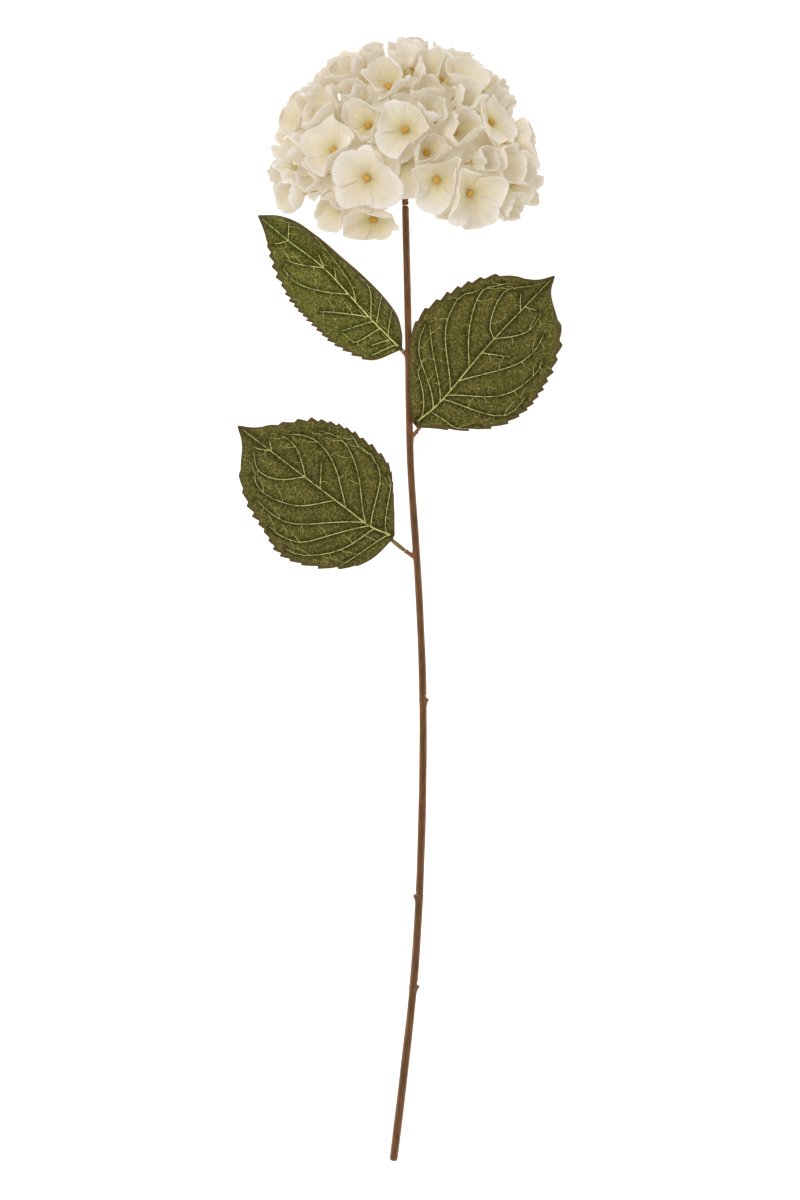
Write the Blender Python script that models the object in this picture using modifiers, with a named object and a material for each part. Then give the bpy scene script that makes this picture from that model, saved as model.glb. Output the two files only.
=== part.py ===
"""An artificial hydrangea stem: fabric florets and leaves on moulded plastic, lying on a surface.

Lengths below are in millimetres and become metres as each mesh is made. The stem runs along Y
with its flower head at +Y, and the surface that it lies on is z = 0.
"""

import math
import random

import bmesh
import bpy
import numpy as np
from mathutils import Matrix, Vector

MM = 0.001
GAP = 0.3  # between two pieces that touch

# The stem: (y, x) along its bow, from the cut end to the top.
STEM_BOW = [
    (-400, -4.7),
    (-338, 2.7),
    (-266, 10.3),
    (-183, 14.8),
    (-80, 16.4),
    (8, 13.3),
    (100, 7.4),
    (190, 5.9),
    (279.4, 3.7),
]
STEM_END_Y = -400
STEM_TOP_Y = 279.4
STEM_END_RADIUS = 2.95
STEM_TOP_RADIUS = 2.45
STEM_END_HEIGHT = 2.97
END_ROUNDING = ((0.0, 0.55), (0.5, 0.8), (1.6, 0.97))  # distance from the end, share of radius
BUD_SCARS = ((-71, 1), (-211, -1), (-276, 1))  # y, and the side that it is on
BUD_PROUD = 1.9
BUD_LENGTH = 9.0
BUD_SUNK = 0.6  # from the stem's side in to the middle of a bud
BUD_FULLNESS = 0.3  # how much wider a bud is than it is proud
BUD_LEAN = 0.16  # outwards, for each 1 along the stem

# The flower head: florets stand on a ball round the hub, over the top of the stem.
HUB_Y = 300
HUB_HEIGHT = 76
SEAT_RADIUS = 76  # from the hub to a floret's centre
SEAT_SPREAD = 4.0  # what a lift of 1 adds to it
EDGE_RADIUS = 89  # from the hub to the tips of petals with room to spread
HEAD_RADIUS = 98
# Florets that face up and outwards, as (angle round the stem, angle above the hub, lift): the
# angles are in degrees, and a lift of 1 stands proud of its neighbours and spreads over them,
# while -1 is sunk between them.
FRONT_FLORETS = [
    (0, 26, 1.0),
    (-19, 2, 0.8),
    (16, 1, 0.2),
    (34, -6, 0.6),
    (54, 8, -0.2),
    (-40, 15, 0.5),
    (-23, 30, -0.4),
    (57, 29, 0.9),
    (31, 27, -0.9),
    (-52, 34, -0.2),
    (16, 48, -0.8),
    (-14, 53, 0.6),
    (-54, 57, -0.1),
    (50, 52, 0.7),
    (-5, 77, -0.2),
    (-64, 14, -0.6),
    (-80, 30, 0.5),
    (80, 40, -0.5),
    (78, 16, 0.4),
    (-18, -20, -0.4),
    (-36, -12, -0.5),
    (-62, -7, 0.6),
    (58, -13, 0.1),
    (84, -5, -0.4),
    (-88, 4, -0.2),
]
# Rows of florets on the side that is lain on: angle above the hub, how many, degrees between.
BACK_ROWS = ((-6, 5, 34), (18, 5, 37), (43, 4, 45.5), (68, 3, 80))
BACK_LIFT = 0.6  # up and down by turns along a row
BELOW_FRONT = -26  # the lowest that petals hang, in degrees, in front and behind
BELOW_SIDES = -13  # and at the sides
PETAL_LENGTH = 27
PETAL_SPREAD = 2.0
PETAL_THICK = 0.4
EYE_RADIUS = 1.3  # the hole in a floret's middle
NEAR_FLORETS = 1.4  # florets further apart than this, in radians, never meet
# One petal's outline from gap to gap: (degrees, share of the petal's length).
PETAL_OUTLINE = ((0, 0.30), (15, 0.84), (35, 1.0), (55, 1.0), (75, 0.84))
PETAL_FOLD = 0.45  # where a petal's middle ring of points lies
HALVINGS = 18  # that find where a petal meets its wall
CELL_MARGIN = math.radians(1.0)  # kept free on each side of the line between two florets
CELL_LEAN = 0.04  # how far that line leans over, in radians, for each 1 of difference in lift
LEAN_FROM = 74  # the line is upright nearer to the hub than this
LEAN_TO = 90  # and leans no further beyond this
PETAL_RISE = 0.7  # how far a petal that is turned up at the line rises for what it doesn't spread
BEAD_ROOM = 7.8  # between a floret's seat and the surface, where the head is lain on

# The sprays inside the head.
PIPS_EACH = 6
SHANK_RADIUS = 0.5
SHANK_RING = 1.3
SHANK_THICKENING = 1.2  # at the fork
SHANK_TURNS = (60, -30)  # degrees from one shank to the next round the middle one, and the first
SHANK_TOP = 12.5  # above the stem's top, where the shanks start to spread
FORK_RADIUS = 34  # from the hub to where a spray branches
FORK_KNOB = 1.5
BRANCH_RADIUS = 0.55
BRANCH_STRAIGHT = 0.72  # the share of the way out from which a branch runs straight outwards
BEAD_RADIUS = 2.6
BEAD_PROFILE = ((0.2, 0.75), (0.9, 1.0), (1.6, 0.6))  # (up, out), in bead radii from its foot
COLLAR_INNER = 2.1
COLLAR_OUTER = 2.45
COLLAR_LENGTH = 11.0

# Leaves: half widths are given at these shares of the blade's length.
LEAF_STATIONS = (0.0, 0.06, 0.15, 0.28, 0.42, 0.56, 0.70, 0.82, 0.92, 1.0)
BLADE_THICK = 0.6
RIB_STALK_RADIUS = 1.2
RIB_TIP_RADIUS = 0.4
RIB_SHARE = 0.78  # of the blade's length that the rib runs under
STUB_RADIUS = 1.5
STUB_FLARE = 1.15  # how much thicker a stub is inside the stem
HEADING_SHARE = 0.12  # the stretch of midrib, each way, that gives its direction
LAP_SHARE = 0.45  # of the blade, from its foot, where a lobe laps up over the stem
LEAVES = {
    "upper_left": {
        "midrib": [(0.7, 178.1), (-21.2, 200.0), (-53.0, 234.6), (-79.2, 255.1), (-100.4, 273.0)],
        "left": (1.0, 19.2, 26.0, 31.6, 33.0, 33.0, 26.8, 16.0, 6.3, 0.4),
        "right": (1.0, 9.1, 16.0, 18.0, 16.8, 14.8, 15.3, 15.0, 10.0, 0.4),
        "rise": 14,
        "fall": 24,
        "drop_left": 6,
        "drop_right": 26,
        "lap": 0,
        "stub": ((5.8, 172.5), (2.0, 176.8)),
    },
    "right": {
        "midrib": [(9.9, 125.1), (28.3, 140.6), (48.8, 164.7), (66.4, 185.2), (109.5, 230.4)],
        "left": (0.8, 15.5, 28.9, 43.1, 50.1, 46.4, 39.1, 27.4, 8.1, 0.4),
        "right": (3.0, 11.0, 25.0, 43.5, 50.0, 48.4, 42.3, 31.0, 8.0, 0.4),
        "rise": 40,
        "fall": 52,
        "drop_left": 2,
        "drop_right": 7,
        "lap": 6,
        "stub": ((6.9, 114.5), (12.4, 120.6)),
    },
    "lower_left": {
        "midrib": [(-4.2, 45.9), (-21.2, 53.0), (-38.2, 65.7), (-67.1, 87.6), (-115.2, 124.4)],
        "left": (1.5, 21.9, 35.7, 49.3, 54.0, 47.6, 40.2, 29.0, 9.4, 0.4),
        "right": (1.0, 17.9, 35.0, 44.1, 46.3, 44.7, 36.5, 21.0, 7.0, 0.4),
        "rise": 22,
        "fall": 40,
        "drop_left": 7,
        "drop_right": 5,
        "lap": 0,
        "stub": ((10.6, 31.0), (3.6, 35.6)),
    },
}
BLADE_ABOVE_STEM = 2.6  # from the stem's axis up to a blade's foot


def clear_scene():
    for thing in list(bpy.data.objects):
        bpy.data.objects.remove(thing)


def collection(name):
    made = bpy.data.collections.new(name)
    bpy.context.scene.collection.children.link(made)
    return made


def material(name, colour, roughness):
    made = bpy.data.materials.new(name)
    made.use_nodes = True
    shader = made.node_tree.nodes["Principled BSDF"]
    shader.inputs["Base Color"].default_value = (*colour, 1)
    shader.inputs["Roughness"].default_value = roughness
    shader.inputs["Metallic"].default_value = 0.0
    return made


# ---- Shapes used by several pieces


def smooth_run(points, per_span):
    """Points on a smooth curve through the given ones, each a vector of any length."""
    given = [np.array(p, float) for p in points]
    given = [2 * given[0] - given[1]] + given + [2 * given[-1] - given[-2]]
    run = []
    for a, b, c, d in zip(given, given[1:], given[2:], given[3:]):
        for step in range(per_span):
            t = step / per_span
            bend = 2 * b + (c - a) * t + (2 * a - 5 * b + 4 * c - d) * t**2
            run.append(0.5 * (bend + (3 * b - a - 3 * c + d) * t**3))
    return run + [given[-2]]


def tube(name, run, into, sides):
    """A closed tube through (x, y, z, radius) points, as a mesh."""
    data = bpy.data.curves.new(name, "CURVE")
    data.dimensions = "3D"
    data.bevel_depth = MM
    data.bevel_resolution = (sides - 4) // 2
    data.use_fill_caps = True
    spline = data.splines.new("POLY")
    spline.points.add(len(run) - 1)
    for point, (x, y, z, radius) in zip(spline.points, run):
        point.co = (x * MM, y * MM, z * MM, 1)
        point.radius = radius
    drawn = bpy.data.objects.new(name + "_line", data)
    into.objects.link(drawn)
    bpy.context.view_layer.update()
    seen = drawn.evaluated_get(bpy.context.evaluated_depsgraph_get())
    mesh = bpy.data.meshes.new_from_object(seen)
    made = bpy.data.objects.new(name, mesh)
    made.matrix_world = drawn.matrix_world
    into.objects.link(made)
    bpy.data.objects.remove(drawn)
    shape = bmesh.new()
    shape.from_mesh(mesh)
    bmesh.ops.remove_doubles(shape, verts=shape.verts, dist=1e-6)
    bmesh.ops.recalc_face_normals(shape, faces=shape.faces)
    shape.to_mesh(mesh)
    shape.free()
    return made


def knob(name, centre, size, into, segments=8, rings=5, along=None):
    """An egg-shaped ball, longest along the given direction."""
    shape = bmesh.new()
    bmesh.ops.create_uvsphere(shape, u_segments=segments, v_segments=rings, radius=1)
    turn = Vector(along or (0, 0, 1)).to_track_quat("Z", "Y").to_matrix().to_4x4()
    stretch = Matrix.Diagonal((size[0] * MM, size[1] * MM, size[2] * MM, 1))
    place = Matrix.Translation(Vector(centre) * MM)
    bmesh.ops.transform(shape, matrix=place @ turn @ stretch, verts=shape.verts)
    mesh = bpy.data.meshes.new(name)
    shape.to_mesh(mesh)
    shape.free()
    made = bpy.data.objects.new(name, mesh)
    into.objects.link(made)
    return made


def fuse(body, pieces):
    """Makes the body one solid with the pieces, which are then gone."""
    for piece in pieces:
        join = body.modifiers.new("join", "BOOLEAN")
        join.operation = "UNION"
        join.solver = "EXACT"
        join.object = piece
    bpy.context.view_layer.update()
    seen = body.evaluated_get(bpy.context.evaluated_depsgraph_get())
    mesh = bpy.data.meshes.new_from_object(seen)
    body.modifiers.clear()
    body.data = mesh
    for piece in pieces:
        bpy.data.objects.remove(piece)


def finish(thing, paint):
    thing.data.materials.clear()
    thing.data.materials.append(paint)
    thing.data.shade_smooth()


# ---- The stem


def stem_slope():
    return (HUB_HEIGHT - STEM_END_HEIGHT) / (HUB_Y - STEM_END_Y)


def stem_height(y):
    return STEM_END_HEIGHT + (y - STEM_END_Y) * stem_slope()


def stem_x(y):
    ys, xs = zip(*STEM_BOW)
    return float(np.interp(y, ys, xs))


def stem_radius(y):
    share = (y - STEM_END_Y) / (STEM_TOP_Y - STEM_END_Y)
    return STEM_END_RADIUS + share * (STEM_TOP_RADIUS - STEM_END_RADIUS)


def stem_run():
    bow = smooth_run([(x, y) for y, x in STEM_BOW], 3)
    run = []
    for along, share in END_ROUNDING:
        y = STEM_END_Y + along
        run.append((stem_x(y), y, stem_height(y), STEM_END_RADIUS * share))
    for x, y in bow[1:]:
        run.append((x, y, stem_height(y), stem_radius(y)))
    return run


def make_stem(parts, tools, paint):
    stem = tube("stem", stem_run(), parts, sides=10)
    grown = []
    up = Vector((0, 1, stem_slope())).normalized()
    for y, side in BUD_SCARS:
        reach = stem_radius(y) - BUD_SUNK
        centre = (stem_x(y) + side * reach, y, stem_height(y))
        lean = up + Vector((side * BUD_LEAN, 0, 0))
        size = (BUD_PROUD + BUD_SUNK, BUD_PROUD + BUD_FULLNESS, BUD_LENGTH / 2)
        grown.append(knob("bud", centre, size, tools, along=lean))
    for leaf in LEAVES.values():
        (x0, y0), (x1, y1) = leaf["stub"]
        low = (x0, y0, stem_height(y0), STUB_RADIUS * STUB_FLARE)
        high = (x1, y1, stem_height(y1), STUB_RADIUS)
        grown.append(tube("stub", [low, high], tools, sides=8))
    fuse(stem, grown)
    finish(stem, paint)
    return stem


# ---- The leaves


def leaf_midrib(leaf, share):
    """The point on a blade's midrib at a share of its length, and its direction from above."""
    run = np.array(smooth_run(leaf["midrib"], 8))
    along = np.concatenate([[0], np.cumsum(np.linalg.norm(np.diff(run, axis=0), axis=1))])
    x = np.interp(share * along[-1], along, run[:, 0])
    y = np.interp(share * along[-1], along, run[:, 1])
    back = np.interp(max(share - HEADING_SHARE, 0) * along[-1], along, np.arange(len(run)))
    on = np.interp(min(share + HEADING_SHARE, 1) * along[-1], along, np.arange(len(run)))
    heading = run[min(int(round(on)), len(run) - 1)] - run[int(round(back))]
    heading = heading / np.linalg.norm(heading)
    foot = stem_height(leaf["midrib"][0][1]) + BLADE_ABOVE_STEM
    z = foot + leaf["rise"] * share - leaf["fall"] * share**2
    return Vector((x, y, z)), Vector((heading[0], heading[1], 0))


def blade_point(leaf, share, across):
    """A point of the blade: across is -1 at its right edge, 0 on the midrib and 1 at its left."""
    middle, heading = leaf_midrib(leaf, share)
    side = "left" if across >= 0 else "right"
    half = float(np.interp(share, LEAF_STATIONS, leaf[side]))
    sideways = Vector((-heading.y, heading.x, 0))
    point = middle + sideways * half * across
    fullness = half / max(leaf[side])
    point.z -= leaf["drop_" + side] * fullness * across**2
    if side == "left":
        point.z += leaf["lap"] * across**2 * max(0, 1 - share / LAP_SHARE)
    return point


def make_blade(name, leaf, parts, paint):
    along = len(LEAF_STATIONS) - 1
    across = 6
    shape = bmesh.new()
    bmesh.ops.create_grid(shape, x_segments=across, y_segments=along, size=1)
    for vert in shape.verts:
        station = round((vert.co.y + 1) / 2 * along)
        vert.co = blade_point(leaf, LEAF_STATIONS[station], -vert.co.x) * MM
    bmesh.ops.recalc_face_normals(shape, faces=shape.faces)
    mesh = bpy.data.meshes.new(name)
    shape.to_mesh(mesh)
    shape.free()
    blade = bpy.data.objects.new(name, mesh)
    parts.objects.link(blade)
    wall = blade.modifiers.new("cloth", "SOLIDIFY")
    wall.thickness = BLADE_THICK * MM
    wall.offset = 0
    finish(blade, paint)
    return blade


def make_rib(name, leaf, parts, paint):
    (x0, y0), (x1, y1) = leaf["stub"]
    low = Vector((x0, y0, stem_height(y0)))
    high = Vector((x1, y1, stem_height(y1)))
    start = high + (high - low).normalized() * GAP
    run = [(*start, RIB_STALK_RADIUS)]
    for share in (0.10, 0.25, 0.45, RIB_SHARE):
        middle, _ = leaf_midrib(leaf, share)
        radius = RIB_STALK_RADIUS + (RIB_TIP_RADIUS - RIB_STALK_RADIUS) * share / RIB_SHARE
        middle.z -= BLADE_THICK / 2 + GAP + radius
        run.append((*middle, radius))
    rib = tube(name, run, parts, sides=6)
    finish(rib, paint)
    return rib


# ---- The flower head


def hub():
    return Vector((stem_x(HUB_Y), HUB_Y, HUB_HEIGHT))


def head_axes():
    """Across the head, up along the stem, and out of the surface that it lies on."""
    up = Vector((0, 1, stem_slope())).normalized()
    across = Vector((1, 0, 0))
    return across, up, across.cross(up)


def pointing(round_stem, above):
    """The direction from the hub at an angle round the stem and an angle above the hub."""
    across, up, out = head_axes()
    turn, lift = math.radians(round_stem), math.radians(above)
    level = across * math.sin(turn) + out * math.cos(turn)
    return level * math.cos(lift) + up * math.sin(lift)


def floret_places():
    """Every floret's angle round the stem, angle above the hub and lift."""
    places = list(FRONT_FLORETS)
    for above, count, apart in BACK_ROWS:
        for k in range(count):
            lift = BACK_LIFT * (-1) ** (k + above // 10)
            places.append((180 + (k - (count - 1) / 2) * apart, above, lift))
    return places


def seat_radius(direction, lift):
    """How far a floret's centre is from the hub: less where its bead would meet the surface."""
    radius = SEAT_RADIUS + SEAT_SPREAD * lift
    if direction.z < 0:
        radius = min(radius, (HUB_HEIGHT - BEAD_ROOM) / -direction.z)
    return radius


def lowest_lift(direction):
    """The angle that petals may hang below the hub in a direction, as a sine."""
    across, up, out = head_axes()
    side = direction.dot(across) ** 2
    level = max(side + direction.dot(out) ** 2, 1e-9)
    below = BELOW_FRONT + (BELOW_SIDES - BELOW_FRONT) * side / level
    return math.sin(math.radians(below))


def cell_walls(index, directions, lifts):
    """The walls between a floret and those near it, as (direction across the wall, lean)."""
    own = directions[index]
    walls = []
    for other, lift in zip(directions, lifts):
        if other is not own and other.angle(own) < NEAR_FLORETS:
            walls.append(((own - other).normalized(), CELL_LEAN * (lifts[index] - lift)))
    return walls


def inside_cell(direction, radius, walls):
    up = head_axes()[1]
    if direction.dot(up) < lowest_lift(direction):
        return False
    share = min(max((radius - LEAN_FROM) / (LEAN_TO - LEAN_FROM), 0), 1)
    return all(direction.dot(wall) + lean * share > math.sin(CELL_MARGIN) for wall, lean in walls)


def petal_point(seat, outwards, heading, reach, walls, length):
    """Where a point of the flat floret goes: reach is how far it is from the middle."""

    def bent(share):
        turn = share * reach / SEAT_RADIUS
        direction = outwards * math.cos(turn) + heading * math.sin(turn)
        radius = seat + (EDGE_RADIUS - seat) * (reach / length) ** 2
        radius += PETAL_RISE * (1 - share) * reach * reach / length
        return direction, min(radius, HEAD_RADIUS)

    low, high = 0.0, 1.0
    for _ in range(HALVINGS):
        share = (low + high) / 2
        if inside_cell(*bent(share), walls):
            low = share
        else:
            high = share
    direction, radius = bent(low)
    if direction.z < 0:
        radius = min(radius, (HUB_HEIGHT - PETAL_THICK) / -direction.z)
    return direction * radius


def make_floret(name, index, directions, lifts, draw, parts, paint):
    outwards = directions[index]
    walls = cell_walls(index, directions, lifts)
    seat = seat_radius(outwards, lifts[index])
    length = PETAL_LENGTH + PETAL_SPREAD * draw.uniform(-1, 1)
    twist = draw.uniform(0, math.pi / 2)
    first = outwards.orthogonal().normalized()
    second = outwards.cross(first)
    shape = bmesh.new()
    count = 4 * len(PETAL_OUTLINE)
    made = bmesh.ops.create_circle(shape, segments=count, radius=1)
    ring = sorted(made["verts"], key=lambda v: math.atan2(v.co.y, v.co.x) % (2 * math.pi))
    rings = [ring]
    for _ in range(2):
        edges = [e for e in shape.edges if e.is_boundary or e.is_wire]
        edges = [e for e in edges if e.verts[0] in rings[-1] and e.verts[1] in rings[-1]]
        grown = bmesh.ops.extrude_edge_only(shape, edges=edges)
        fresh = [v for v in grown["geom"] if isinstance(v, bmesh.types.BMVert)]
        by_place = {tuple(round(c, 6) for c in v.co): v for v in fresh}
        rings.append([by_place[tuple(round(c, 6) for c in v.co)] for v in rings[-1]])
    for place, verts in enumerate(zip(*rings)):
        petal, step = divmod(place, len(PETAL_OUTLINE))
        degrees, share = PETAL_OUTLINE[step]
        angle = math.radians(90 * petal + degrees) + twist
        heading = first * math.cos(angle) + second * math.sin(angle)
        reaches = (EYE_RADIUS, length * share * PETAL_FOLD, length * share)
        for vert, reach in zip(verts, reaches):
            point = petal_point(seat, outwards, heading, reach, walls, length)
            vert.co = (hub() + point) * MM
    bmesh.ops.recalc_face_normals(shape, faces=shape.faces)
    facing = sum((f.normal.dot(outwards) for f in shape.faces))
    if facing < 0:
        bmesh.ops.reverse_faces(shape, faces=shape.faces)
    mesh = bpy.data.meshes.new(name)
    shape.to_mesh(mesh)
    shape.free()
    floret = bpy.data.objects.new(name, mesh)
    parts.objects.link(floret)
    wall = floret.modifiers.new("cloth", "SOLIDIFY")
    wall.thickness = PETAL_THICK * MM
    wall.offset = 1
    finish(floret, paint)
    return floret


def sprays(places):
    """Which florets each spray carries: the topmost on the middle one, the rest in order round."""
    order = sorted(range(len(places)), key=lambda i: -places[i][1])
    groups = [order[:PIPS_EACH]]
    rest = sorted(order[PIPS_EACH:], key=lambda i: places[i][0] % 360)
    for first in range(0, len(rest), PIPS_EACH):
        groups.append(rest[first : first + PIPS_EACH])
    return groups


def pip_run(fork, direction, seat):
    """A branch from its fork out through a floret, ending in the bead that holds it on."""
    on = hub() + direction * (BRANCH_STRAIGHT * seat)
    run = [(*fork, BRANCH_RADIUS), (*on, BRANCH_RADIUS)]
    foot = seat + PETAL_THICK + GAP
    run.append((*(hub() + direction * foot), BRANCH_RADIUS))
    for up, wide in BEAD_PROFILE:
        run.append((*(hub() + direction * (foot + up * BEAD_RADIUS)), wide * BEAD_RADIUS))
    return run


def make_sprig(number, group, directions, lifts, parts, tools, paint):
    across, up, out = head_axes()
    middle = sum((directions[i] for i in group), Vector()).normalized()
    if number == 0:
        middle = up
        offset = Vector()
    else:
        turn = math.radians(SHANK_TURNS[0] * number + SHANK_TURNS[1])
        offset = (across * math.sin(turn) + out * math.cos(turn)) * SHANK_RING
    top = Vector((stem_x(STEM_TOP_Y), STEM_TOP_Y, stem_height(STEM_TOP_Y)))
    fork = hub() + middle * FORK_RADIUS
    foot = top + up * GAP + offset
    spread = top + up * SHANK_TOP + offset
    run = [(*foot, SHANK_RADIUS), (*spread, SHANK_RADIUS), (*fork, SHANK_RADIUS * SHANK_THICKENING)]
    name = f"sprig_{number + 1}"
    sprig = tube(name, run, parts, sides=6)
    branches = [knob("knob", fork, (FORK_KNOB,) * 3, tools, segments=8, rings=6)]
    for i in group:
        run = pip_run(fork, directions[i], seat_radius(directions[i], lifts[i]))
        branches.append(tube("branch", run, tools, sides=6))
    fuse(sprig, branches)
    finish(sprig, paint)
    return sprig


def make_collar(parts, paint):
    """The wrap round the shanks: a turned sleeve just above the stem's top."""
    mesh = bpy.data.meshes.new("stem_collar")
    shape = bmesh.new()
    profile = [
        (COLLAR_INNER, 0),
        (COLLAR_OUTER, 0),
        (COLLAR_OUTER, COLLAR_LENGTH),
        (COLLAR_INNER, COLLAR_LENGTH),
    ]
    verts = [shape.verts.new((r * MM, 0, z * MM)) for r, z in reversed(profile)]
    for a, b in zip(verts, verts[1:] + verts[:1]):
        shape.edges.new((a, b))
    shape.to_mesh(mesh)
    shape.free()
    collar = bpy.data.objects.new("stem_collar", mesh)
    parts.objects.link(collar)
    turn = collar.modifiers.new("turn", "SCREW")
    turn.steps = 16
    turn.render_steps = 16
    turn.use_merge_vertices = True
    turn.merge_threshold = 0.00001
    up = head_axes()[1]
    top = Vector((stem_x(STEM_TOP_Y), STEM_TOP_Y, stem_height(STEM_TOP_Y)))
    collar.rotation_euler = up.to_track_quat("Z", "Y").to_euler()
    collar.location = (top + up * GAP) * MM
    finish(collar, paint)
    return collar


def centre_on_origin(parts, root):
    """Puts the middle of the object's foot print on the origin, on the surface."""
    bpy.context.view_layer.update()
    graph = bpy.context.evaluated_depsgraph_get()
    corners = []
    for thing in parts.objects:
        if thing.type == "MESH":
            seen = thing.evaluated_get(graph)
            corners += [thing.matrix_world @ v.co for v in seen.data.vertices]
    corners = np.array(corners)
    low, high = corners.min(axis=0), corners.max(axis=0)
    root.location = (-(low[0] + high[0]) / 2, -(low[1] + high[1]) / 2, -low[2])


def main():
    clear_scene()
    parts = collection("artificial_hydrangea")
    tools = collection("shaping_tools")
    draw = random.Random(4)
    bark = material("moulded brown stem", (0.16, 0.085, 0.045), 0.55)
    wrap = material("rust wrap", (0.22, 0.07, 0.02), 0.6)
    leaf_cloth = material("green leaf cloth", (0.07, 0.08, 0.02), 0.7)
    rib_plastic = material("leaf rib plastic", (0.20, 0.24, 0.05), 0.5)
    petal_cloth = material("cream petal cloth", (0.82, 0.78, 0.68), 0.8)
    pip_plastic = material("ochre pip plastic", (0.55, 0.30, 0.05), 0.5)

    make_stem(parts, tools, bark)
    make_collar(parts, wrap)
    for name, leaf in LEAVES.items():
        make_blade("leaf_blade_" + name, leaf, parts, leaf_cloth)
        make_rib("leaf_rib_" + name, leaf, parts, rib_plastic)
    places = floret_places()
    directions = [pointing(around, above) for around, above, lift in places]
    lifts = [lift for around, above, lift in places]
    for number, group in enumerate(sprays(places)):
        make_sprig(number, group, directions, lifts, parts, tools, pip_plastic)
    for index in range(len(directions)):
        name = f"floret_{index + 1:02d}"
        make_floret(name, index, directions, lifts, draw, parts, petal_cloth)

    root = bpy.data.objects.new("hydrangea_origin", None)
    parts.objects.link(root)
    for thing in parts.objects:
        if thing is not root:
            thing.parent = root
    centre_on_origin(parts, root)


main()
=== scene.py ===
# %% [markdown]
# # A shop-made hydrangea on a long stem
# The real thing is a moulded plastic stem with three printed cloth leaves, and a head of cloth
# florets that hang on thin plastic sprays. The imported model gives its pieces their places, and
# this lesson gives each one its true shape and finish, and adds more florets to fill the head. It
# is loaded first, so that everything below can be measured from it.

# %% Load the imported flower
import math
import random

import bmesh
import bpy
import numpy as np
from mathutils import Matrix, Vector


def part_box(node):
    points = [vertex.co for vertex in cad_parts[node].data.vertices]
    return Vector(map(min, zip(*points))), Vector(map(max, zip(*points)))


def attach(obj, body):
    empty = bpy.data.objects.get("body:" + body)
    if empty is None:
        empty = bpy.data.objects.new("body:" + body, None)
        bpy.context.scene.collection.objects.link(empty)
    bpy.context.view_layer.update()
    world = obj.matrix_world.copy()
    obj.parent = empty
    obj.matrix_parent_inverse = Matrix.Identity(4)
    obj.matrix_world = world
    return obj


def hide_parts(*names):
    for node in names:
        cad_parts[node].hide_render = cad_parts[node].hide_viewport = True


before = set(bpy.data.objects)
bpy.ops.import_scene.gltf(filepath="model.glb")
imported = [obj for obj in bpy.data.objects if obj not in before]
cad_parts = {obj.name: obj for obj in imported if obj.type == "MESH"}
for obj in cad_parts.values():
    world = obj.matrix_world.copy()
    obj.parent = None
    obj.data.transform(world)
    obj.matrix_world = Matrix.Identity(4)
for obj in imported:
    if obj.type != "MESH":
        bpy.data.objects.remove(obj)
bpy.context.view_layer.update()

print("packed pieces:", len(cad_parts))

# %% [markdown]
# ## Measuring in millimetres
# A flower is easier to think about in millimetres, with its stem at x = 0, so that is how the
# shapes are worked out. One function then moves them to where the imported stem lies. The place
# is read from the little sleeve at the stem's top, which is the one piece with a plain centre.

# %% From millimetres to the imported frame
MM = 0.001
GAP = 0.3  # between two pieces that touch
STEM_END_Y = -400
STEM_TOP_Y = 279.4
STEM_END_HEIGHT = 2.97
HUB_Y = 300
HUB_HEIGHT = 76
COLLAR_LENGTH = 11.0
SLOPE = (HUB_HEIGHT - STEM_END_HEIGHT) / (HUB_Y - STEM_END_Y)
UP = np.array([0, 1, SLOPE]) / math.hypot(1, SLOPE)  # along the stem
ACROSS = np.array([1.0, 0, 0])
OUT = np.cross(ACROSS, UP)  # away from the surface that it lies on
STEM_BOW = [
    (-400, -4.7),
    (-338, 2.7),
    (-266, 10.3),
    (-183, 14.8),
    (-80, 16.4),
    (8, 13.3),
    (100, 7.4),
    (190, 5.9),
    (279.4, 3.7),
]


def smooth_run(points, per_span):
    """Points on a smooth curve through the given ones, each of any length."""
    given = [np.array(p, float) for p in points]
    given = [2 * given[0] - given[1]] + given + [2 * given[-1] - given[-2]]
    run = []
    for a, b, c, d in zip(given, given[1:], given[2:], given[3:]):
        for step in range(per_span):
            t = step / per_span
            bend = 2 * b + (c - a) * t + (2 * a - 5 * b + 4 * c - d) * t**2
            run.append(0.5 * (bend + (3 * b - a - 3 * c + d) * t**3))
    return np.array(run + [given[-2]])


def smooth_value(places, values, at):
    """A value that runs smoothly through the given ones."""
    run = smooth_run(list(zip(places, values)), 12)
    return np.interp(at, run[:, 0], run[:, 1])


def stem_height(y):
    """The height of the stem's middle at a distance along it."""
    return STEM_END_HEIGHT + (y - STEM_END_Y) * SLOPE


def on_stem(spot):
    """An (x, y) place, raised to the height of the stem's middle there."""
    return np.array([*spot, stem_height(spot[1])])


def stem_point(y):
    """The middle of the stem at a distance along it."""
    places, sides = zip(*STEM_BOW)
    x = float(smooth_value(places, sides, y))
    return np.array([x, y, stem_height(y)])


stem_top = stem_point(STEM_TOP_Y)
sleeve_low, sleeve_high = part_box("stem_collar")
sleeve_middle = stem_top + UP * (GAP + COLLAR_LENGTH / 2)
SHIFT = np.array((sleeve_low + sleeve_high) / 2) / MM - sleeve_middle
HUB = stem_point(STEM_TOP_Y) * [1, 0, 0] + [0, HUB_Y, HUB_HEIGHT]


def placed(points):
    """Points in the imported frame, in metres, from points in millimetres."""
    return (np.asarray(points, float) + SHIFT) * MM


print("moved by, in mm:", [round(float(s), 2) for s in SHIFT])

# %% [markdown]
# ## The table, the light and the camera
# The flower lies on a pale sheet and is seen from straight above, from far off through a long
# lens, so that nothing looks larger for being nearer. A large soft lamp and a white room light
# it, as in a photographer's tent, so its shadows stay faint.

# %% Floor, lamps and camera
VIEW_HEIGHT = 6.0
SEEN_HEIGHT = 0.848  # of the table, from the bottom of the picture to its top
FLOWER_LEVEL = 0.07
SENSOR = 36.0
VIEW_CENTRE = (0.0, 0.7, 0)
FLOOR_DROP = 0.0003


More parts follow.
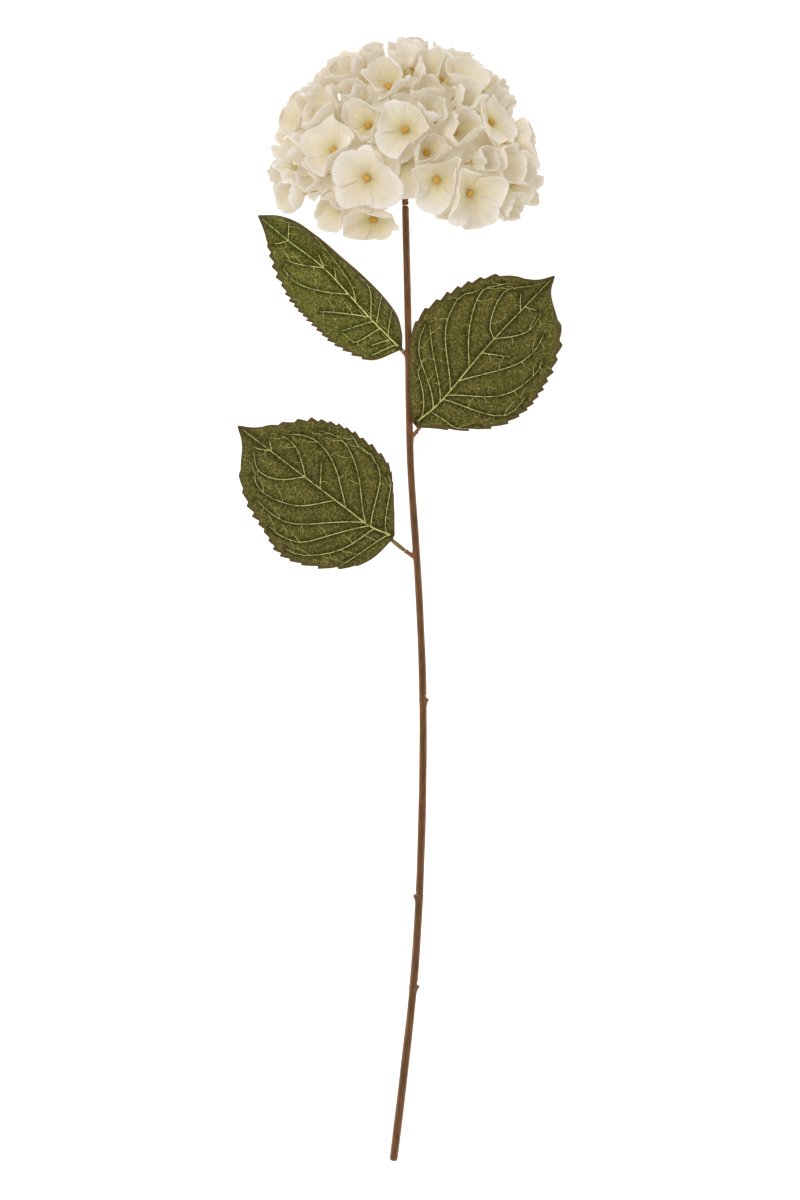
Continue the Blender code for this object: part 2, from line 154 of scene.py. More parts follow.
def start_fresh():
    """Object mode with nothing selected: the operators act on all that is selected."""
    if bpy.context.mode != "OBJECT":
        bpy.ops.object.mode_set(mode="OBJECT")
    bpy.ops.object.select_all(action="DESELECT")


def add_lamp(name, place, aim, size, watts):
    start_fresh()
    bpy.ops.object.light_add(type="AREA", location=place)
    lamp = bpy.context.object
    lamp.name = name
    lamp.data.size = size
    lamp.data.energy = watts
    lamp.rotation_euler = (Vector(place) - Vector(aim)).to_track_quat("Z", "Y").to_euler()
    return lamp


start_fresh()
bpy.ops.mesh.primitive_plane_add(size=8, location=(0, 0, -FLOOR_DROP))
floor = bpy.context.object
floor.name = "table_top"

add_lamp("soft_box", (-0.9, 0.9, 2.0), (0, 0.1, 0), 0.9, 13)
add_lamp("front_fill", (0.5, -1.6, 1.6), (0, 0.1, 0), 1.4, 5)

room = bpy.data.worlds.new("white tent")
room.use_nodes = True
room.node_tree.nodes["Background"].inputs["Color"].default_value = (1, 0.965, 0.92, 1)
room.node_tree.nodes["Background"].inputs["Strength"].default_value = 0.60
bpy.context.scene.world = room
bpy.context.scene.view_settings.view_transform = "Standard"

start_fresh()
centre = placed(VIEW_CENTRE)
bpy.ops.object.camera_add(location=(centre[0], centre[1], VIEW_HEIGHT), rotation=(0, 0, 0))
camera = bpy.context.object
camera.name = "camera"
camera.data.sensor_width = SENSOR
camera.data.lens = SENSOR * (VIEW_HEIGHT - FLOWER_LEVEL) / SEEN_HEIGHT
bpy.context.scene.camera = camera
print("lens in mm:", round(camera.data.lens))

# %% [markdown]
# ## Helpers for finishes
# Each finish below is a small tree of nodes. The helpers add a node with its settings, and
# join sockets, so that a finish reads from its pattern to its shader.


# %% Helpers for finishes
def add_node(tree, kind, inputs=None, **settings):
    made = tree.nodes.new(kind)
    for name, value in settings.items():
        setattr(made, name, value)
    for name, value in (inputs or {}).items():
        if isinstance(value, bpy.types.NodeSocket):
            tree.links.new(value, made.inputs[name])
        else:
            made.inputs[name].default_value = value
    return made


def math_node(tree, operation, first, second=0.0):
    made = add_node(tree, "ShaderNodeMath", {0: first, 1: second}, operation=operation)
    return made.outputs[0]


def ramp_node(tree, value, stops):
    """Colours at places from 0 to 1, each stop (place, (red, green, blue))."""
    made = add_node(tree, "ShaderNodeValToRGB", {"Fac": value})
    ramp = made.color_ramp
    while len(ramp.elements) < len(stops):
        ramp.elements.new(1.0)
    for element, (place, colour) in zip(ramp.elements, stops):
        element.position = place
        element.color = (*colour, 1)
    return made.outputs["Color"]


def mix_colours(tree, share, first, second, blend="MIX"):
    made = add_node(tree, "ShaderNodeMix", data_type="RGBA", blend_type=blend)
    for socket, value in ((0, share), (6, first), (7, second)):
        if isinstance(value, bpy.types.NodeSocket):
            tree.links.new(value, made.inputs[socket])
        elif socket == 0:
            made.inputs[socket].default_value = value
        else:
            made.inputs[socket].default_value = (*value, 1)
    return made.outputs[2]


def band(tree, value, low, high):
    """0 below low and 1 above high, or the other way when low is the larger."""
    made = add_node(
        tree, "ShaderNodeMapRange", {"Value": value, "From Min": low, "From Max": high}
    )
    made.interpolation_type = "SMOOTHSTEP"
    return made.outputs[0]


def noise(tree, where, scale, detail=2.0, roughness=0.5):
    inputs = {"Vector": where, "Scale": scale, "Detail": detail, "Roughness": roughness}
    return add_node(tree, "ShaderNodeTexNoise", inputs).outputs["Fac"]


def start_finish(name):
    """A new material, its tree, its shader and the Object coordinates."""
    made = bpy.data.materials.new(name)
    made.use_nodes = True
    tree = made.node_tree
    where = add_node(tree, "ShaderNodeTexCoord")
    return made, tree, tree.nodes["Principled BSDF"], where


def bump(tree, shader, height, depth, strength=1.0):
    made = add_node(tree, "ShaderNodeBump", {"Height": height})
    made.inputs["Distance"].default_value = depth
    made.inputs["Strength"].default_value = strength
    tree.links.new(made.outputs[0], shader.inputs["Normal"])


def stretched(tree, vector, scale):
    """Coordinates squeezed or stretched, for a pattern that is longer one way."""
    made = add_node(tree, "ShaderNodeMapping", {"Vector": vector})
    made.inputs["Scale"].default_value = scale
    return made.outputs[0]


def set_mesh_points(thing, points):
    """Moves every vertex of an object to a point given in millimetres."""
    thing.data.vertices.foreach_set("co", placed(points).astype(np.float32).ravel())
    thing.data.update()


def mesh_points(thing):
    count = len(thing.data.vertices)
    flat = np.zeros(count * 3, np.float32)
    thing.data.vertices.foreach_get("co", flat)
    return flat.reshape(count, 3).astype(float)


def choose(thing):
    start_fresh()
    thing.select_set(True)
    bpy.context.view_layer.objects.active = thing


def edit_all(thing):
    """Edit mode with everything selected."""
    choose(thing)
    bpy.ops.object.mode_set(mode="EDIT")
    bpy.ops.mesh.select_all(action="SELECT")


def close_up(thing, distance=0.000005):
    """Merges doubled points and turns every face outwards."""
    edit_all(thing)
    bpy.ops.mesh.remove_doubles(threshold=distance)
    bpy.ops.mesh.normals_make_consistent(inside=False)
    bpy.ops.object.mode_set(mode="OBJECT")


def settle(thing):
    """Puts a new piece's place into its mesh."""
    choose(thing)
    bpy.ops.object.transform_apply(location=True, rotation=True, scale=True)


def add_number(thing, name, values):
    """A number on every vertex, for its finish to read."""
    made = thing.data.attributes.new(name, "FLOAT", "POINT")
    made.data.foreach_set("value", np.asarray(values, np.float32))


def stand_for(piece, node, finishes):
    """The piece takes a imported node's place, with its finishes."""
    piece.data.materials.clear()
    for finish in finishes:
        piece.data.materials.append(finish)
    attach(piece, "root")
    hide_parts(node)


# %% [markdown]
# ## The finish of the table
# A plain sheet of white paper: almost white, dull, with the least mottling.

# %% Paper
paper, tree, shader, where = start_finish("white paper")
mottle = noise(tree, where.outputs["Object"], 3.0)
pale = mix_colours(tree, mottle, (0.93, 0.93, 0.93), (0.95, 0.95, 0.95))
tree.links.new(pale, shader.inputs["Base Color"])
shader.inputs["Roughness"].default_value = 0.9
shader.inputs["Specular IOR Level"].default_value = 0.1
shader.inputs["Emission Color"].default_value = (1, 1, 1, 1)
shader.inputs["Emission Strength"].default_value = 0.7
floor.data.materials.append(paper)

# %% [markdown]
# ## The stem
# The stem is one moulding in brown plastic, just under 6 mm thick at its cut end and just under
# 5 mm at its top, with a slow bow and a few bud scars copied from a real shrub. It could be a
# curve with a bevel, but by hand it is quicker to add a disc at the cut end and extrude it from
# point to point, resizing as it goes. The sections lie closer together at the scars and at the
# stubs where leaves join, because those need more points to be shaped with.

# %% Where the stem's sections lie
STEM_SIDES = 28
STEM_END_RADIUS = 2.95
STEM_TOP_RADIUS = 2.45
BUD_SCARS = ((-71, 1), (-211, -1), (-276, 1))  # y, and the side that it is on
STUBS = {
    "upper_left": ((5.8, 172.5), (2.0, 176.8)),
    "right": ((6.9, 114.5), (12.4, 120.6)),
    "lower_left": ((10.6, 31.0), (3.6, 35.6)),
}
STUB_RADIUS = 1.5
END_ROUNDING = ((0.0, 0.4), (0.15, 0.7), (0.5, 0.87), (1.0, 0.95), (1.8, 1.0))
SECTION_STEP = 6.0
CLOSE_REACH = 9  # each way from a scar or a stub, where sections are close together
CLOSE_STEP = 0.75


def stem_radius(y):
    share = (y - STEM_END_Y) / (STEM_TOP_Y - STEM_END_Y)
    return STEM_END_RADIUS + share * (STEM_TOP_RADIUS - STEM_END_RADIUS)


def section_places():
    """Distances along the stem: wide apart, and close together round each scar and stub."""
    places = set(np.arange(STEM_END_Y + SECTION_STEP, STEM_TOP_Y - 2, SECTION_STEP))
    middles = [y for y, side in BUD_SCARS] + [low[1] for low, high in STUBS.values()]
    for middle in middles:
        places = {y for y in places if abs(y - middle) > CLOSE_REACH}
        places |= set(np.arange(middle - CLOSE_REACH, middle + CLOSE_REACH, CLOSE_STEP))
    places |= {STEM_END_Y + along for along, share in END_ROUNDING}
    places |= {STEM_TOP_Y - along for along, share in END_ROUNDING}
    return sorted(places)


def rounded_radius(y):
    """The stem's radius, less near its two ends, where the edge is rounded over."""
    nearest = min(y - STEM_END_Y, STEM_TOP_Y - y)
    along, share = zip(*END_ROUNDING)
    return stem_radius(y) * float(np.interp(nearest, along, share))


sections = section_places()
print("sections along the stem:", len(sections))


# %% Extrude the stem from disc to disc
def grow_rod(name, middles, radii, sides):
    """A closed rod: a disc at the first point, extruded to each next one and resized there."""
    start_fresh()
    spots = [Vector(p) for p in placed(middles)]
    turn = (spots[1] - spots[0]).to_track_quat("Z", "Y").to_euler()
    bpy.ops.mesh.primitive_circle_add(
        vertices=sides, radius=radii[0] * MM, fill_type="NGON", location=spots[0], rotation=turn
    )
    rod = bpy.context.object
    rod.name = name
    rod.data.name = name
    settle(rod)
    edit_all(rod)
    for here, there, narrow, wide in zip(spots, spots[1:], radii, radii[1:]):
        bpy.ops.mesh.extrude_region_move(TRANSFORM_OT_translate={"value": there - here})
        bpy.ops.transform.resize(value=(wide / narrow,) * 3, center_override=there)
    bpy.ops.object.mode_set(mode="OBJECT")
    close_up(rod)
    return rod


stem_middles = [stem_point(y) for y in sections]
stem_radii = [rounded_radius(y) for y in sections]
stem = grow_rod("hydrangea_stem", stem_middles, stem_radii, STEM_SIDES)
print("stem points:", len(stem.data.vertices))

# %% [markdown]
# ## Scars and flutes on the stem
# Each scar is a swelling with a sharp lip above it, as a fallen leaf leaves. The mould also
# pressed faint flutes along the stem. Both are small moves of the points that are there, outwards
# from the stem's middle, which is what a sculpting brush would do.

# %% Shape the scars and the flutes
SCAR_PROUD = 1.7
SCAR_RISE = 6.0  # how far below its lip a scar starts to swell
SCAR_FALL = 1.3  # and how soon it ends above
SCAR_NOTCH = (0.45, 3.2, 0.8)  # depth, place above the scar's middle, width
SCAR_RING = (0.22, 0.6, 1.4)  # the same for the ring that runs all round
FLUTES = 5
FLUTE_DEPTH = 0.07
RIPPLE = 0.10
STUB_SWELLING = 0.5  # of the stem round the foot of a stub
STUB_SWELLING_WIDE = 3.0


def stem_frame(points):
    """Each point's distance along the stem, its middle there, and the way outwards from it."""
    along = points[:, 1]
    middles = np.array([stem_point(y) for y in along])
    offset = points - middles
    offset -= np.outer(offset @ UP, UP)
    far = np.linalg.norm(offset, axis=1)
    return along, offset / np.maximum(far, 1e-9)[:, None], far


def scar_line(above, size, place, width):
    """A soft ridge or groove across the stem, by the distance above a scar's middle."""
    return size * np.exp(-(((above - place) / width) ** 2))


def scar_swelling(along, sideways, middle, side):
    """How far a scar stands out, from the distance along and how much a point faces its side."""
    below = np.clip((middle + 1 - along) / SCAR_RISE, 0, 1)
    above = np.clip((along - middle - 1) / SCAR_FALL, 0, 1)
    lip = np.where(along < middle + 1, (1 - below) ** 2, (1 - above) ** 0.5)
    facing = np.clip(sideways * side, 0, 1) ** 1.3
    notch = scar_line(along - middle, *SCAR_NOTCH) * facing
    return SCAR_PROUD * lip * facing + scar_line(along - middle, *SCAR_RING) - notch


def shape_stem(thing):
    points = mesh_points(thing) / MM - SHIFT
    along, outward, far = stem_frame(points)
    angle = np.arctan2(outward @ ACROSS, outward @ OUT)
    wander = 0.9 * np.sin(along / 61) + 0.4 * np.sin(along / 23)
    move = FLUTE_DEPTH * np.cos(FLUTES * angle + wander)
    move += RIPPLE * np.sin(along / 11.0 + 2 * angle) * np.sin(along / 37.0)
    for middle, side in BUD_SCARS:
        move += scar_swelling(along, outward @ ACROSS, middle, side)
    for (x0, y0), high in STUBS.values():
        side = np.sign(high[0] - stem_point(y0)[0])
        facing = np.clip(outward @ ACROSS * side, 0, 1)
        near = np.exp(-(((along - y0 - 1) / STUB_SWELLING_WIDE) ** 2))
        move += STUB_SWELLING * facing * near
    move *= far > 1.0
    set_mesh_points(thing, points + outward * move[:, None])


shape_stem(stem)
print("scars shaped at y =", [y for y, side in BUD_SCARS])

# %% [markdown]
# ## Stubs for the leaves
# Where a leaf joins, the moulding has a short stub that the leaf's own stalk is pushed on to.
# Each is a short rod of its own, and a Boolean modifier makes it one with the stem.


# %% Join the stubs to the stem
STUB_SIDES = 16
# (share of the stub's length, share of its radius)
STUB_PROFILE = (
    (0.0, 1.25),
    (0.3, 1.15),
    (0.6, 1.0),
    (0.8, 0.98),
    (0.9, 1.08),
    (0.97, 1.06),
    (1.0, 0.92),
)


def join_solid(body, extra):
    """Makes the body one solid with another closed piece, which is then gone."""
    choose(body)
    join = body.modifiers.new("join", "BOOLEAN")
    join.operation = "UNION"
    join.solver = "EXACT"
    join.object = extra
    bpy.ops.object.modifier_apply(modifier=join.name)
    bpy.data.objects.remove(extra)


def stub_run(low, high):
    """Middles and radii of a stub, from inside the stem to a neat rim at its end."""
    first, last = on_stem(low), on_stem(high)
    middles = [first + (last - first) * share for share, _ in STUB_PROFILE]
    return middles, [STUB_RADIUS * radius for _, radius in STUB_PROFILE]


for low, high in STUBS.values():
    middles, radii = stub_run(low, high)
    join_solid(stem, grow_rod("stub", middles, radii, STUB_SIDES))
choose(stem)
bpy.ops.object.shade_smooth()
along, outward, far = stem_frame(mesh_points(stem) / MM - SHIFT)
add_number(stem, "round", np.arctan2(outward @ ACROSS, outward @ OUT) / math.pi)
print("stem triangles:", sum(len(p.vertices) - 2 for p in stem.data.polygons))

# %% [markdown]
# ## The finish of the stem
# The plastic is printed to look like bark: a warm brown, darker and more olive along the top,
# redder at the sides, with streaks that run along the stem. The streaks are noise squeezed one
# way on the Object coordinates, and the stripes follow the number that says how far round the
# stem a point lies.

# %% Bark
bark, tree, shader, where = start_finish("printed bark")
around = add_node(tree, "ShaderNodeAttribute", attribute_name="round").outputs["Fac"]
streaks = noise(tree, stretched(tree, where.outputs["Object"], (900, 45, 900)), 1.0, 5.0, 0.62)
patches = noise(tree, stretched(tree, where.outputs["Object"], (220, 26, 220)), 1.0, 3.0)
side = math_node(tree, "ABSOLUTE", around)
side = math_node(tree, "ADD", side, math_node(tree, "MULTIPLY", patches, 0.35))
stripe = ramp_node(
    tree,
    side,
    [
        (0.12, (0.096, 0.052, 0.009)),
        (0.34, (0.195, 0.082, 0.020)),
        (0.52, (0.290, 0.106, 0.032)),
        (0.72, (0.230, 0.074, 0.028)),
        (1.0, (0.125, 0.052, 0.017)),
    ],
)
dark = band(tree, streaks, 0.36, 0.62)
colour = mix_colours(tree, dark, (0.62, 0.60, 0.58), (1.12, 1.08, 1.04))
colour = mix_colours(tree, 1.0, stripe, colour, "MULTIPLY")
tree.links.new(colour, shader.inputs["Base Color"])
tree.links.new(band(tree, streaks, 0.2, 1.3), shader.inputs["Roughness"])
bump(tree, shader, streaks, 0.00025, 0.8)
stand_for(stem, "stem", [bark])
print("finish:", bark.name)

# %% [markdown]
# ## The wrap at the neck
# The shanks of the sprays meet the stem in a sleeve of rust-brown paper tape, wound so that each
# turn laps the one below, with one pale thread that has worked loose. The sleeve starts as an
# open cylinder and is cut into bands, and each point then moves in or out by its place along the
# winding.

# %% Wind the wrap
WRAP_INNER = 2.0
WRAP_OUTER = 2.4
WRAP_PITCH = 2.6
WRAP_SIDES = 40
WRAP_BANDS = 44
THREAD_RADIUS = 0.17
THREAD_FOOT = 1.0  # above the sleeve's foot
THREAD_CLIMB = 8.2
THREAD_TURN = 1.3  # each way from the top of the stem, in radians
THREAD_PROUD = 0.12
THREAD_POINTS = 24


def wind_wrap():
    start_fresh()
    turn = Vector(UP).to_track_quat("Z", "Y").to_euler()
    bpy.ops.mesh.primitive_cylinder_add(
        vertices=WRAP_SIDES,
        radius=WRAP_OUTER * MM,
        depth=COLLAR_LENGTH * MM,
        end_fill_type="NOTHING",
        location=Vector(placed(sleeve_middle)),
        rotation=turn,
    )
    sleeve = bpy.context.object
    sleeve.name = "neck_wrap"
    settle(sleeve)
    edit_all(sleeve)
    bpy.ops.mesh.select_all(action="DESELECT")
    grid = bmesh.from_edit_mesh(sleeve.data)
    for edge in grid.edges:
        edge.select_set(not edge.is_boundary)
    bmesh.update_edit_mesh(sleeve.data)
    bpy.ops.mesh.subdivide(number_cuts=WRAP_BANDS - 1)
    bpy.ops.object.mode_set(mode="OBJECT")
    points = mesh_points(sleeve) / MM - SHIFT
    base = stem_top + UP * GAP
    along = (points - base) @ UP
    offset = points - base - np.outer(along, UP)
    outward = offset / np.linalg.norm(offset, axis=1)[:, None]
    angle = np.arctan2(outward @ ACROSS, outward @ OUT)
    turns = along / WRAP_PITCH + angle / (2 * math.pi) + 0.06 * np.sin(3 * angle)
    lap = turns % 1.0
    crumple = 0.05 * np.sin(7 * angle + 2.1 * along) + 0.04 * np.sin(13 * angle - 3.3 * along)
    radius = WRAP_OUTER - 0.24 * (1 - lap) + crumple
    edge = np.minimum(along, COLLAR_LENGTH - along)
    radius -= 0.2 * np.clip(1 - edge / 0.5, 0, 1)
    set_mesh_points(sleeve, base + np.outer(along, UP) + outward * radius[:, None])
    wall = sleeve.modifiers.new("paper", "SOLIDIFY")
    wall.thickness = (WRAP_OUTER - WRAP_INNER - 0.25) * MM
    wall.offset = -1
    choose(sleeve)
    bpy.ops.object.modifier_apply(modifier=wall.name)
    return sleeve


wrap = wind_wrap()
print("wrap points:", len(wrap.data.vertices))


# %% Lay the loose thread over it
def draw_wire(name, run, sides=8):
    """A thin round wire through (x, y, z, radius) points: a curve with a bevel, made a mesh."""
    data = bpy.data.curves.new(name, "CURVE")
    data.dimensions = "3D"
    data.bevel_depth = MM
    data.bevel_resolution = (sides - 4) // 2
    data.use_fill_caps = True
    spline = data.splines.new("POLY")
    spline.points.add(len(run) - 1)
    for point, (x, y, z, radius) in zip(spline.points, run):
        point.co = (*placed((x, y, z)), 1)
        point.radius = radius
    wire = bpy.data.objects.new(name, data)
    bpy.context.scene.collection.objects.link(wire)
    choose(wire)
    bpy.ops.object.convert(target="MESH")
    wire = bpy.context.object
    close_up(wire, 0.000001)
    return wire


def join_into(body, extras):
    """Adds other pieces to the body's mesh, which keeps its name."""
    choose(body)
    for extra in extras:
        extra.select_set(True)
    bpy.ops.object.join()


def round_stem(middle, angle, radius):
    """A point at an angle round the stem's line, from the top of it."""
    return middle + (ACROSS * math.sin(angle) + OUT * math.cos(angle)) * radius


thread_run = []
for share in np.linspace(0, 1, THREAD_POINTS):
    middle = stem_top + UP * (GAP + THREAD_FOOT + THREAD_CLIMB * (1 - share))
    spot = round_stem(middle, -THREAD_TURN + 2 * THREAD_TURN * share, WRAP_OUTER + THREAD_PROUD)
    thread_run.append((*spot, THREAD_RADIUS))
thread = draw_wire("thread", thread_run)

wrap_paper, tree, shader, where = start_finish("rust paper tape")
fibre = noise(tree, stretched(tree, where.outputs["Object"], (900, 300, 900)), 1.0, 4.0, 0.6)
rust = ramp_node(
    tree,
    fibre,
    [(0.25, (0.075, 0.020, 0.006)), (0.5, (0.19, 0.055, 0.014)), (0.75, (0.33, 0.12, 0.035))],
)
tree.links.new(rust, shader.inputs["Base Color"])
shader.inputs["Roughness"].default_value = 0.75
bump(tree, shader, fibre, 0.0002)

loose_thread, tree, shader, where = start_finish("pale thread")
twist = noise(tree, where.outputs["Object"], 2500.0, 2.0)
pale = mix_colours(tree, twist, (0.50, 0.42, 0.33), (0.78, 0.70, 0.60))
tree.links.new(pale, shader.inputs["Base Color"])
shader.inputs["Roughness"].default_value = 0.8
bump(tree, shader, twist, 0.0001)

thread.data.materials.append(loose_thread)
wrap.data.materials.append(wrap_paper)
join_into(wrap, [thread])
choose(wrap)
bpy.ops.object.shade_smooth_by_angle(angle=math.radians(50))
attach(wrap, "root")
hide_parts("stem_collar")
print("finish:", [m.name for m in wrap.data.materials])

# %% [markdown]
# ## The leaves: their outline
# Each leaf is cut from printed cloth and pressed with a heated plate, which leaves its veins
# sunk and the cloth between them quilted. The outline comes from half widths at a few places
# along the midrib, joined smoothly, and a row of teeth that point to the tip. The upper left
# leaf is turned on edge, so its far half drops steeply away and its edge there is a plain fold.

# %% Sizes of the three leaves
LEAF_STATIONS = (0.0, 0.06, 0.15, 0.28, 0.42, 0.56, 0.70, 0.82, 0.92, 1.0)
BLADE_ABOVE_STEM = 2.6
HEADING_SHARE = 0.12  # the stretch of midrib, each way, that gives its direction
LAP_SHARE = 0.45  # of the blade, from its foot, where a lobe laps up over the stem
LEAVES = {
    "upper_left": {
        "midrib": [(0.7, 178.1), (-21.2, 200.0), (-53.0, 234.6), (-79.2, 255.1), (-100.4, 273.0)],
        "left": (1.0, 19.2, 26.0, 31.6, 33.0, 33.0, 26.8, 16.0, 6.3, 0.4),
        "right": (1.0, 9.1, 16.0, 18.0, 16.8, 14.8, 15.3, 15.0, 10.0, 0.4),
        "rise": 14,
        "fall": 24,
        "drop_left": 6,
        "drop_right": 26,
        "lap": 0,
        "teeth": {"left": 20, "right": 0},
        "veins": {
            "left": [
                [(0.03, 0), (0.083, 0.81)],
                [(0.07, 0), (0.12, 0.53)],
                [(0.15, 0), (0.177, 0.58), (0.197, 0.74)],
                [(0.2, 0), (0.273, 0.66)],
                [(0.23, 0), (0.354, 0.44), (0.417, 0.7)],
                [(0.385, 0), (0.48, 0.34), (0.62, 0.65), (0.735, 0.74)],
                [(0.57, 0), (0.653, 0.24), (0.746, 0.5)],
                [(0.8, 0), (0.845, 0.58)],
            ],
            "right": [
                [(0.09, 0), (0.18, 0.95)],
                [(0.175, 0), (0.27, 0.95)],
                [(0.215, 0), (0.33, 0.75), (0.42, 0.85)],
                [(0.33, 0), (0.4, 0.3), (0.5, 0.5), (0.63, 0.75), (0.71, 0.9)],
                [(0.48, 0), (0.54, 0.4)],
                [(0.567, 0), (0.64, 0.35)],
                [(0.8, 0), (0.84, 0.5), (0.86, 0.8)],
            ],
        },
    },
    "right": {
        "midrib": [(9.9, 125.1), (28.3, 140.6), (48.8, 164.7), (66.4, 185.2), (109.5, 230.4)],
        "left": (0.8, 15.5, 28.9, 43.1, 50.1, 46.4, 39.1, 27.4, 8.1, 0.4),
        "right": (3.0, 11.0, 25.0, 43.5, 50.0, 48.4, 42.3, 31.0, 8.0, 0.4),
        "rise": 40,
        "fall": 52,
        "drop_left": 2,
        "drop_right": 7,
        "lap": 6,
        "teeth": {"left": 13, "right": 15},
        "veins": {
            "left": [
                [(0.04, 0), (0.168, 0.63), (0.21, 0.77)],
                [(0.12, 0), (0.227, 0.61), (0.298, 0.81), (0.41, 0.87)],
                [(0.165, 0), (0.288, 0.45), (0.42, 0.81)],
                [(0.24, 0), (0.43, 0.55), (0.594, 0.84), (0.667, 0.81)],
                [(0.385, 0), (0.54, 0.4), (0.7, 0.75), (0.764, 0.74), (0.8, 0.73)],
                [(0.57, 0), (0.613, 0.21), (0.772, 0.53), (0.827, 0.52), (0.886, 0.46)],
                [(0.76, 0), (0.83, 0.34)],
            ],
            "right": [
                [(0.1, 0), (0.12, 0.5), (0.14, 0.92), (0.207, 0.95)],
                [(0.185, 0), (0.295, 0.82), (0.46, 0.87)],
                [(0.21, 0), (0.369, 0.58), (0.568, 0.79), (0.653, 0.79)],
                [(0.3, 0), (0.528, 0.45), (0.654, 0.59), (0.754, 0.61)],
                [(0.48, 0), (0.557, 0.35)],
                [(0.57, 0), (0.702, 0.31), (0.82, 0.38)],
                [(0.79, 0), (0.818, 0.26)],
            ],
        },
    },
    "lower_left": {
        "midrib": [(-4.2, 45.9), (-21.2, 53.0), (-38.2, 65.7), (-67.1, 87.6), (-115.2, 124.4)],
        "left": (1.5, 21.9, 35.7, 49.3, 54.0, 47.6, 40.2, 29.0, 9.4, 0.4),
        "right": (1.0, 17.9, 35.0, 44.1, 46.3, 44.7, 36.5, 21.0, 7.0, 0.4),
        "rise": 22,
        "fall": 40,
        "drop_left": 7,
        "drop_right": 5,
        "lap": 0,
        "teeth": {"left": 15, "right": 16},
        "veins": {
            "left": [
                [(0.02, 0), (0.11, 0.62), (0.16, 0.95)],
                [(0.11, 0), (0.19, 0.6), (0.29, 0.84), (0.41, 0.9)],
                [(0.14, 0), (0.33, 0.63), (0.44, 0.79), (0.55, 0.9)],
                [(0.17, 0), (0.36, 0.39), (0.53, 0.7), (0.69, 0.82)],
                [(0.36, 0), (0.51, 0.4), (0.68, 0.64), (0.78, 0.65)],
                [(0.56, 0), (0.667, 0.31), (0.777, 0.47), (0.85, 0.35)],
                [(0.79, 0), (0.87, 0.25)],
            ],
            "right": [
                [(0.04, 0), (0.13, 0.85), (0.22, 0.9)],
                [(0.13, 0), (0.22, 0.68), (0.335, 0.87), (0.435, 0.88), (0.5, 0.95)],
                [(0.16, 0), (0.365, 0.57), (0.52, 0.8), (0.647, 0.8)],
                [(0.29, 0), (0.46, 0.39), (0.62, 0.6), (0.75, 0.62)],
                [(0.46, 0), (0.54, 0.35)],
                [(0.555, 0), (0.68, 0.32), (0.79, 0.52)],
                [(0.78, 0), (0.83, 0.3)],
            ],
        },
    },
}


def midrib_frame(leaf, share):
    """Points on the midrib at shares of its length, the way it heads there, and its length."""
    run = smooth_run(leaf["midrib"], 24)
    along = np.concatenate([[0], np.cumsum(np.linalg.norm(np.diff(run, axis=0), axis=1))])
    length = along[-1]

    def spot(at):
        at = np.clip(at, 0, 1) * length
        return np.stack([np.interp(at, along, run[:, 0]), np.interp(at, along, run[:, 1])], -1)

    heading = spot(share + HEADING_SHARE) - spot(share - HEADING_SHARE)
    heading /= np.linalg.norm(heading, axis=-1, keepdims=True)
    foot = stem_height(leaf["midrib"][0][1]) + BLADE_ABOVE_STEM
    height = foot + leaf["rise"] * share - leaf["fall"] * share**2
    middle = np.concatenate([spot(share), height[..., None]], -1)
    return middle, heading, length


for name, leaf in LEAVES.items():
    length = midrib_frame(leaf, np.array([0.5]))[2]
    print(f"leaf {name}: {length:.0f} mm long, {leaf['left'][4] + leaf['right'][4]:.0f} mm wide")

# %% [markdown]
# ## The leaves: teeth and veins
# A tooth rises slowly towards the tip and drops off short, so a row of them is a saw. The side
# veins leave the midrib at a slant, bend towards the tip, and turn along the margin. Each is a
# few points on the blade, given as shares of its length and of its width, and a smooth run
# through them says how far every point of the cloth is from the nearest vein.

# %% Teeth and veins
TOOTH_HEIGHT = 2.5
TOOTH_FORWARD = 1.0
TOOTH_DROP = 0.16  # the share of a tooth that it drops off in
TOOTHED = (0.07, 0.90)
VEIN_STEPS = 14  # in each span of a vein's run


def tooth_row(count, share, draw):
    """How far the teeth stand out at shares of the blade's length, from 0 to about 1."""
    if count == 0:
        return np.zeros_like(share)
    low, high = TOOTHED
    along = (share - low) / (high - low)
    wander = 0.35 * np.sin(9.0 * along + draw.uniform(0, 6)) / count
    phase = np.clip(along + wander, 0, 0.9999) * count
    sizes = np.array([draw.uniform(0.55, 1.25) for _ in range(count)])
    part = phase % 1.0
    saw = np.where(part < 1 - TOOTH_DROP, part / (1 - TOOTH_DROP), (1 - part) / TOOTH_DROP)
    fade = np.clip((share - low) / 0.05, 0, 1) * np.clip((high - share) / 0.06, 0, 1)
    return (saw - 0.35) * sizes[phase.astype(int)] * fade


def vein_runs(leaf):
    """Each side vein as smooth points of (share of length, share of half width)."""
    runs = []
    for side, sign in (("left", 1), ("right", -1)):
        for points in leaf["veins"][side]:
            runs.append(smooth_run(points, VEIN_STEPS) * [1, sign])
    return runs


def half_width(leaf, share, across):
    left = np.maximum(smooth_value(LEAF_STATIONS, leaf["left"], share), 0.3)
    right = np.maximum(smooth_value(LEAF_STATIONS, leaf["right"], share), 0.3)
    return np.where(across >= 0, left, right)


def vein_distance(leaf, share, across, length):
    """Millimetres to the nearest side vein, measured on the flat cloth."""
    far = np.full(len(share), 100.0)
    half = half_width(leaf, share, across)
    for run in vein_runs(leaf):
        dense = np.linspace(0, len(run) - 1, 4 * len(run))
        s = np.interp(dense, np.arange(len(run)), run[:, 0])
        t = np.interp(dense, np.arange(len(run)), run[:, 1])
        beside = (across[:, None] * half[:, None] - (t * half_width(leaf, s, t))[None, :]) ** 2
        ahead = ((share[:, None] - s[None, :]) * length) ** 2
        far = np.minimum(far, np.sqrt(beside + ahead).min(axis=1))
    return far


print("side veins on the right leaf:", len(vein_runs(LEAVES["right"])))

